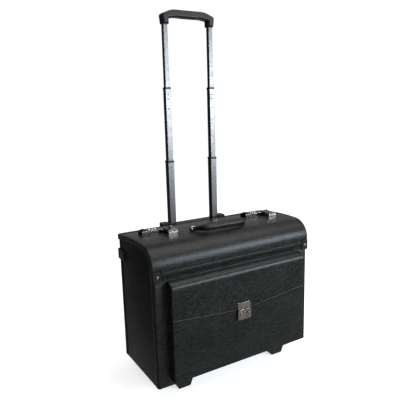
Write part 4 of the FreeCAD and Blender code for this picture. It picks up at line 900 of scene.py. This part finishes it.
def bind_divider():
    """Folded binding over the divider's upper edge, with stitches on both sides."""
    profile = [(-0.0276, 0.3190), (-0.0277, 0.3262), (-0.0268, 0.3292), (-0.0246, 0.3305),
               (-0.0216, 0.3305), (-0.0194, 0.3292), (-0.0184, 0.3262), (-0.0185, 0.3190)]
    steps = 40
    xs = [0.2268 * (2 * i / steps - 1) for i in range(steps + 1)]
    verts = [(x, y, z) for x in xs for y, z in profile]
    faces = sheet_faces(len(xs), len(profile))
    binding = new_piece("divider_binding", verts, faces, [SKIN], smooth=70.0)
    thicken(binding, 0.8 * MM, -1.0)
    bevel(binding, 0.25 * MM, 2, degrees=70.0, smooth=60.0)
    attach(binding, "case")
    for where, y, out in (("front", -0.0279, -1), ("rear", -0.0183, 1)):
        line = [(-0.224, y, 0.3212), (0.224, y, 0.3212)]
        row = stitches(f"divider_stitching_{where}", line, [(0, out, 0)] * 2, 4.2 * MM, 3.1 * MM, 0.3 * MM)
        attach(row, "case")


make_handle()
sew_handle()
make_handle_loops()
make_divider()
bind_divider()


# ---------------------------------------------------------------- stage and light

def look_from(spot, yaw, pitch, roll):
    """Camera matrix from a place and three angles in degrees."""
    yaw, pitch, roll = (math.radians(v) for v in (yaw, pitch, roll))
    ahead = Vector((math.sin(yaw) * math.cos(pitch), math.cos(yaw) * math.cos(pitch), -math.sin(pitch)))
    right = Vector((math.cos(yaw), -math.sin(yaw), 0.0))
    up = right.cross(ahead)
    side = right * math.cos(roll) + up * math.sin(roll)
    top = up * math.cos(roll) - right * math.sin(roll)
    turned = Matrix((side, top, -ahead)).transposed().to_4x4()
    return Matrix.Translation(spot) @ turned


def soft_box(name, place, aim, size, watts, colour):
    """A rectangular area light aimed at a point."""
    data = bpy.data.lights.new(name, "AREA")
    data.shape = "RECTANGLE"
    data.size, data.size_y = size
    data.energy = watts
    data.color = colour
    lamp = bpy.data.objects.new(name, data)
    lamp.location = place
    lamp.rotation_euler = (Vector(aim) - Vector(place)).to_track_quat("-Z", "Y").to_euler()
    bpy.context.scene.collection.objects.link(lamp)


def backdrop_paint(name):
    """White paper that gives its own even light."""
    n = Nodes(name)
    mottle = n.noise(0.5, 2.0)
    return n.finish(Base_Color=(0.9, 0.9, 0.9, 1.0), Emission_Color=(1.0, 1.0, 1.0, 1.0),
                    Emission_Strength=0.66, Roughness=n.span(mottle, 0.3, 0.7, 0.85, 0.95))


STAGE = 9.0
corners = [(-STAGE, -STAGE, 0), (STAGE, -STAGE, 0), (STAGE, STAGE, 0), (-STAGE, STAGE, 0)]
floor = new_piece("floor", corners, [(0, 1, 2, 3)], [floor_paint("floor")])
turns = [math.tau * i / 48 for i in range(48)]
ring = [(STAGE * math.cos(turn), STAGE * math.sin(turn)) for turn in turns]
wall = prism("backdrop", ring, -0.5, STAGE, axis=2)
wall.data.materials.append(backdrop_paint("backdrop"))
for sheet in (floor, wall):
    sheet.visible_glossy = False
    sheet.visible_diffuse = False
wall.visible_shadow = False
# A dark card on the left, seen only in reflections; it reaches below the floor, which they don't meet.
corners = [(-1.6, -0.6, -5.0), (-1.6, 7.0, -5.0), (-1.6, 7.0, 2.6), (-1.6, -0.6, 2.6)]
card = new_piece("dark_card", corners, [(0, 1, 2, 3)], [MATERIALS["black_plastic"]])
card.visible_camera = False
card.visible_diffuse = False
card.visible_shadow = False

world = bpy.data.worlds.new("studio")
world.use_nodes = True
background = world.node_tree.nodes["Background"]
background.inputs["Color"].default_value = (1.0, 1.0, 1.0, 1.0)
background.inputs["Strength"].default_value = 0.36
bpy.context.scene.world = world
bpy.context.scene.view_settings.view_transform = "Standard"

soft_box("band_light", (1.3, -2.0, 0.80), (0.0, -0.1, 0.3), (1.5, 0.5), 52.0, (0.76, 0.89, 1.0))
soft_box("top_light", (0.8, -0.7, 2.6), (0.15, 0.0, 0.2), (1.9, 2.2), 35.0, (1.0, 0.98, 0.95))

camera = bpy.data.objects.new("camera", bpy.data.cameras.new("camera"))
camera.data.lens = 41.45
camera.data.sensor_width = 36.0
camera.data.clip_start = 0.02
camera.matrix_world = look_from(Vector((-0.6473, -1.0267, 0.6964)), 30.47, 11.06, -1.6)
bpy.context.scene.collection.objects.link(camera)
bpy.context.scene.camera = camera
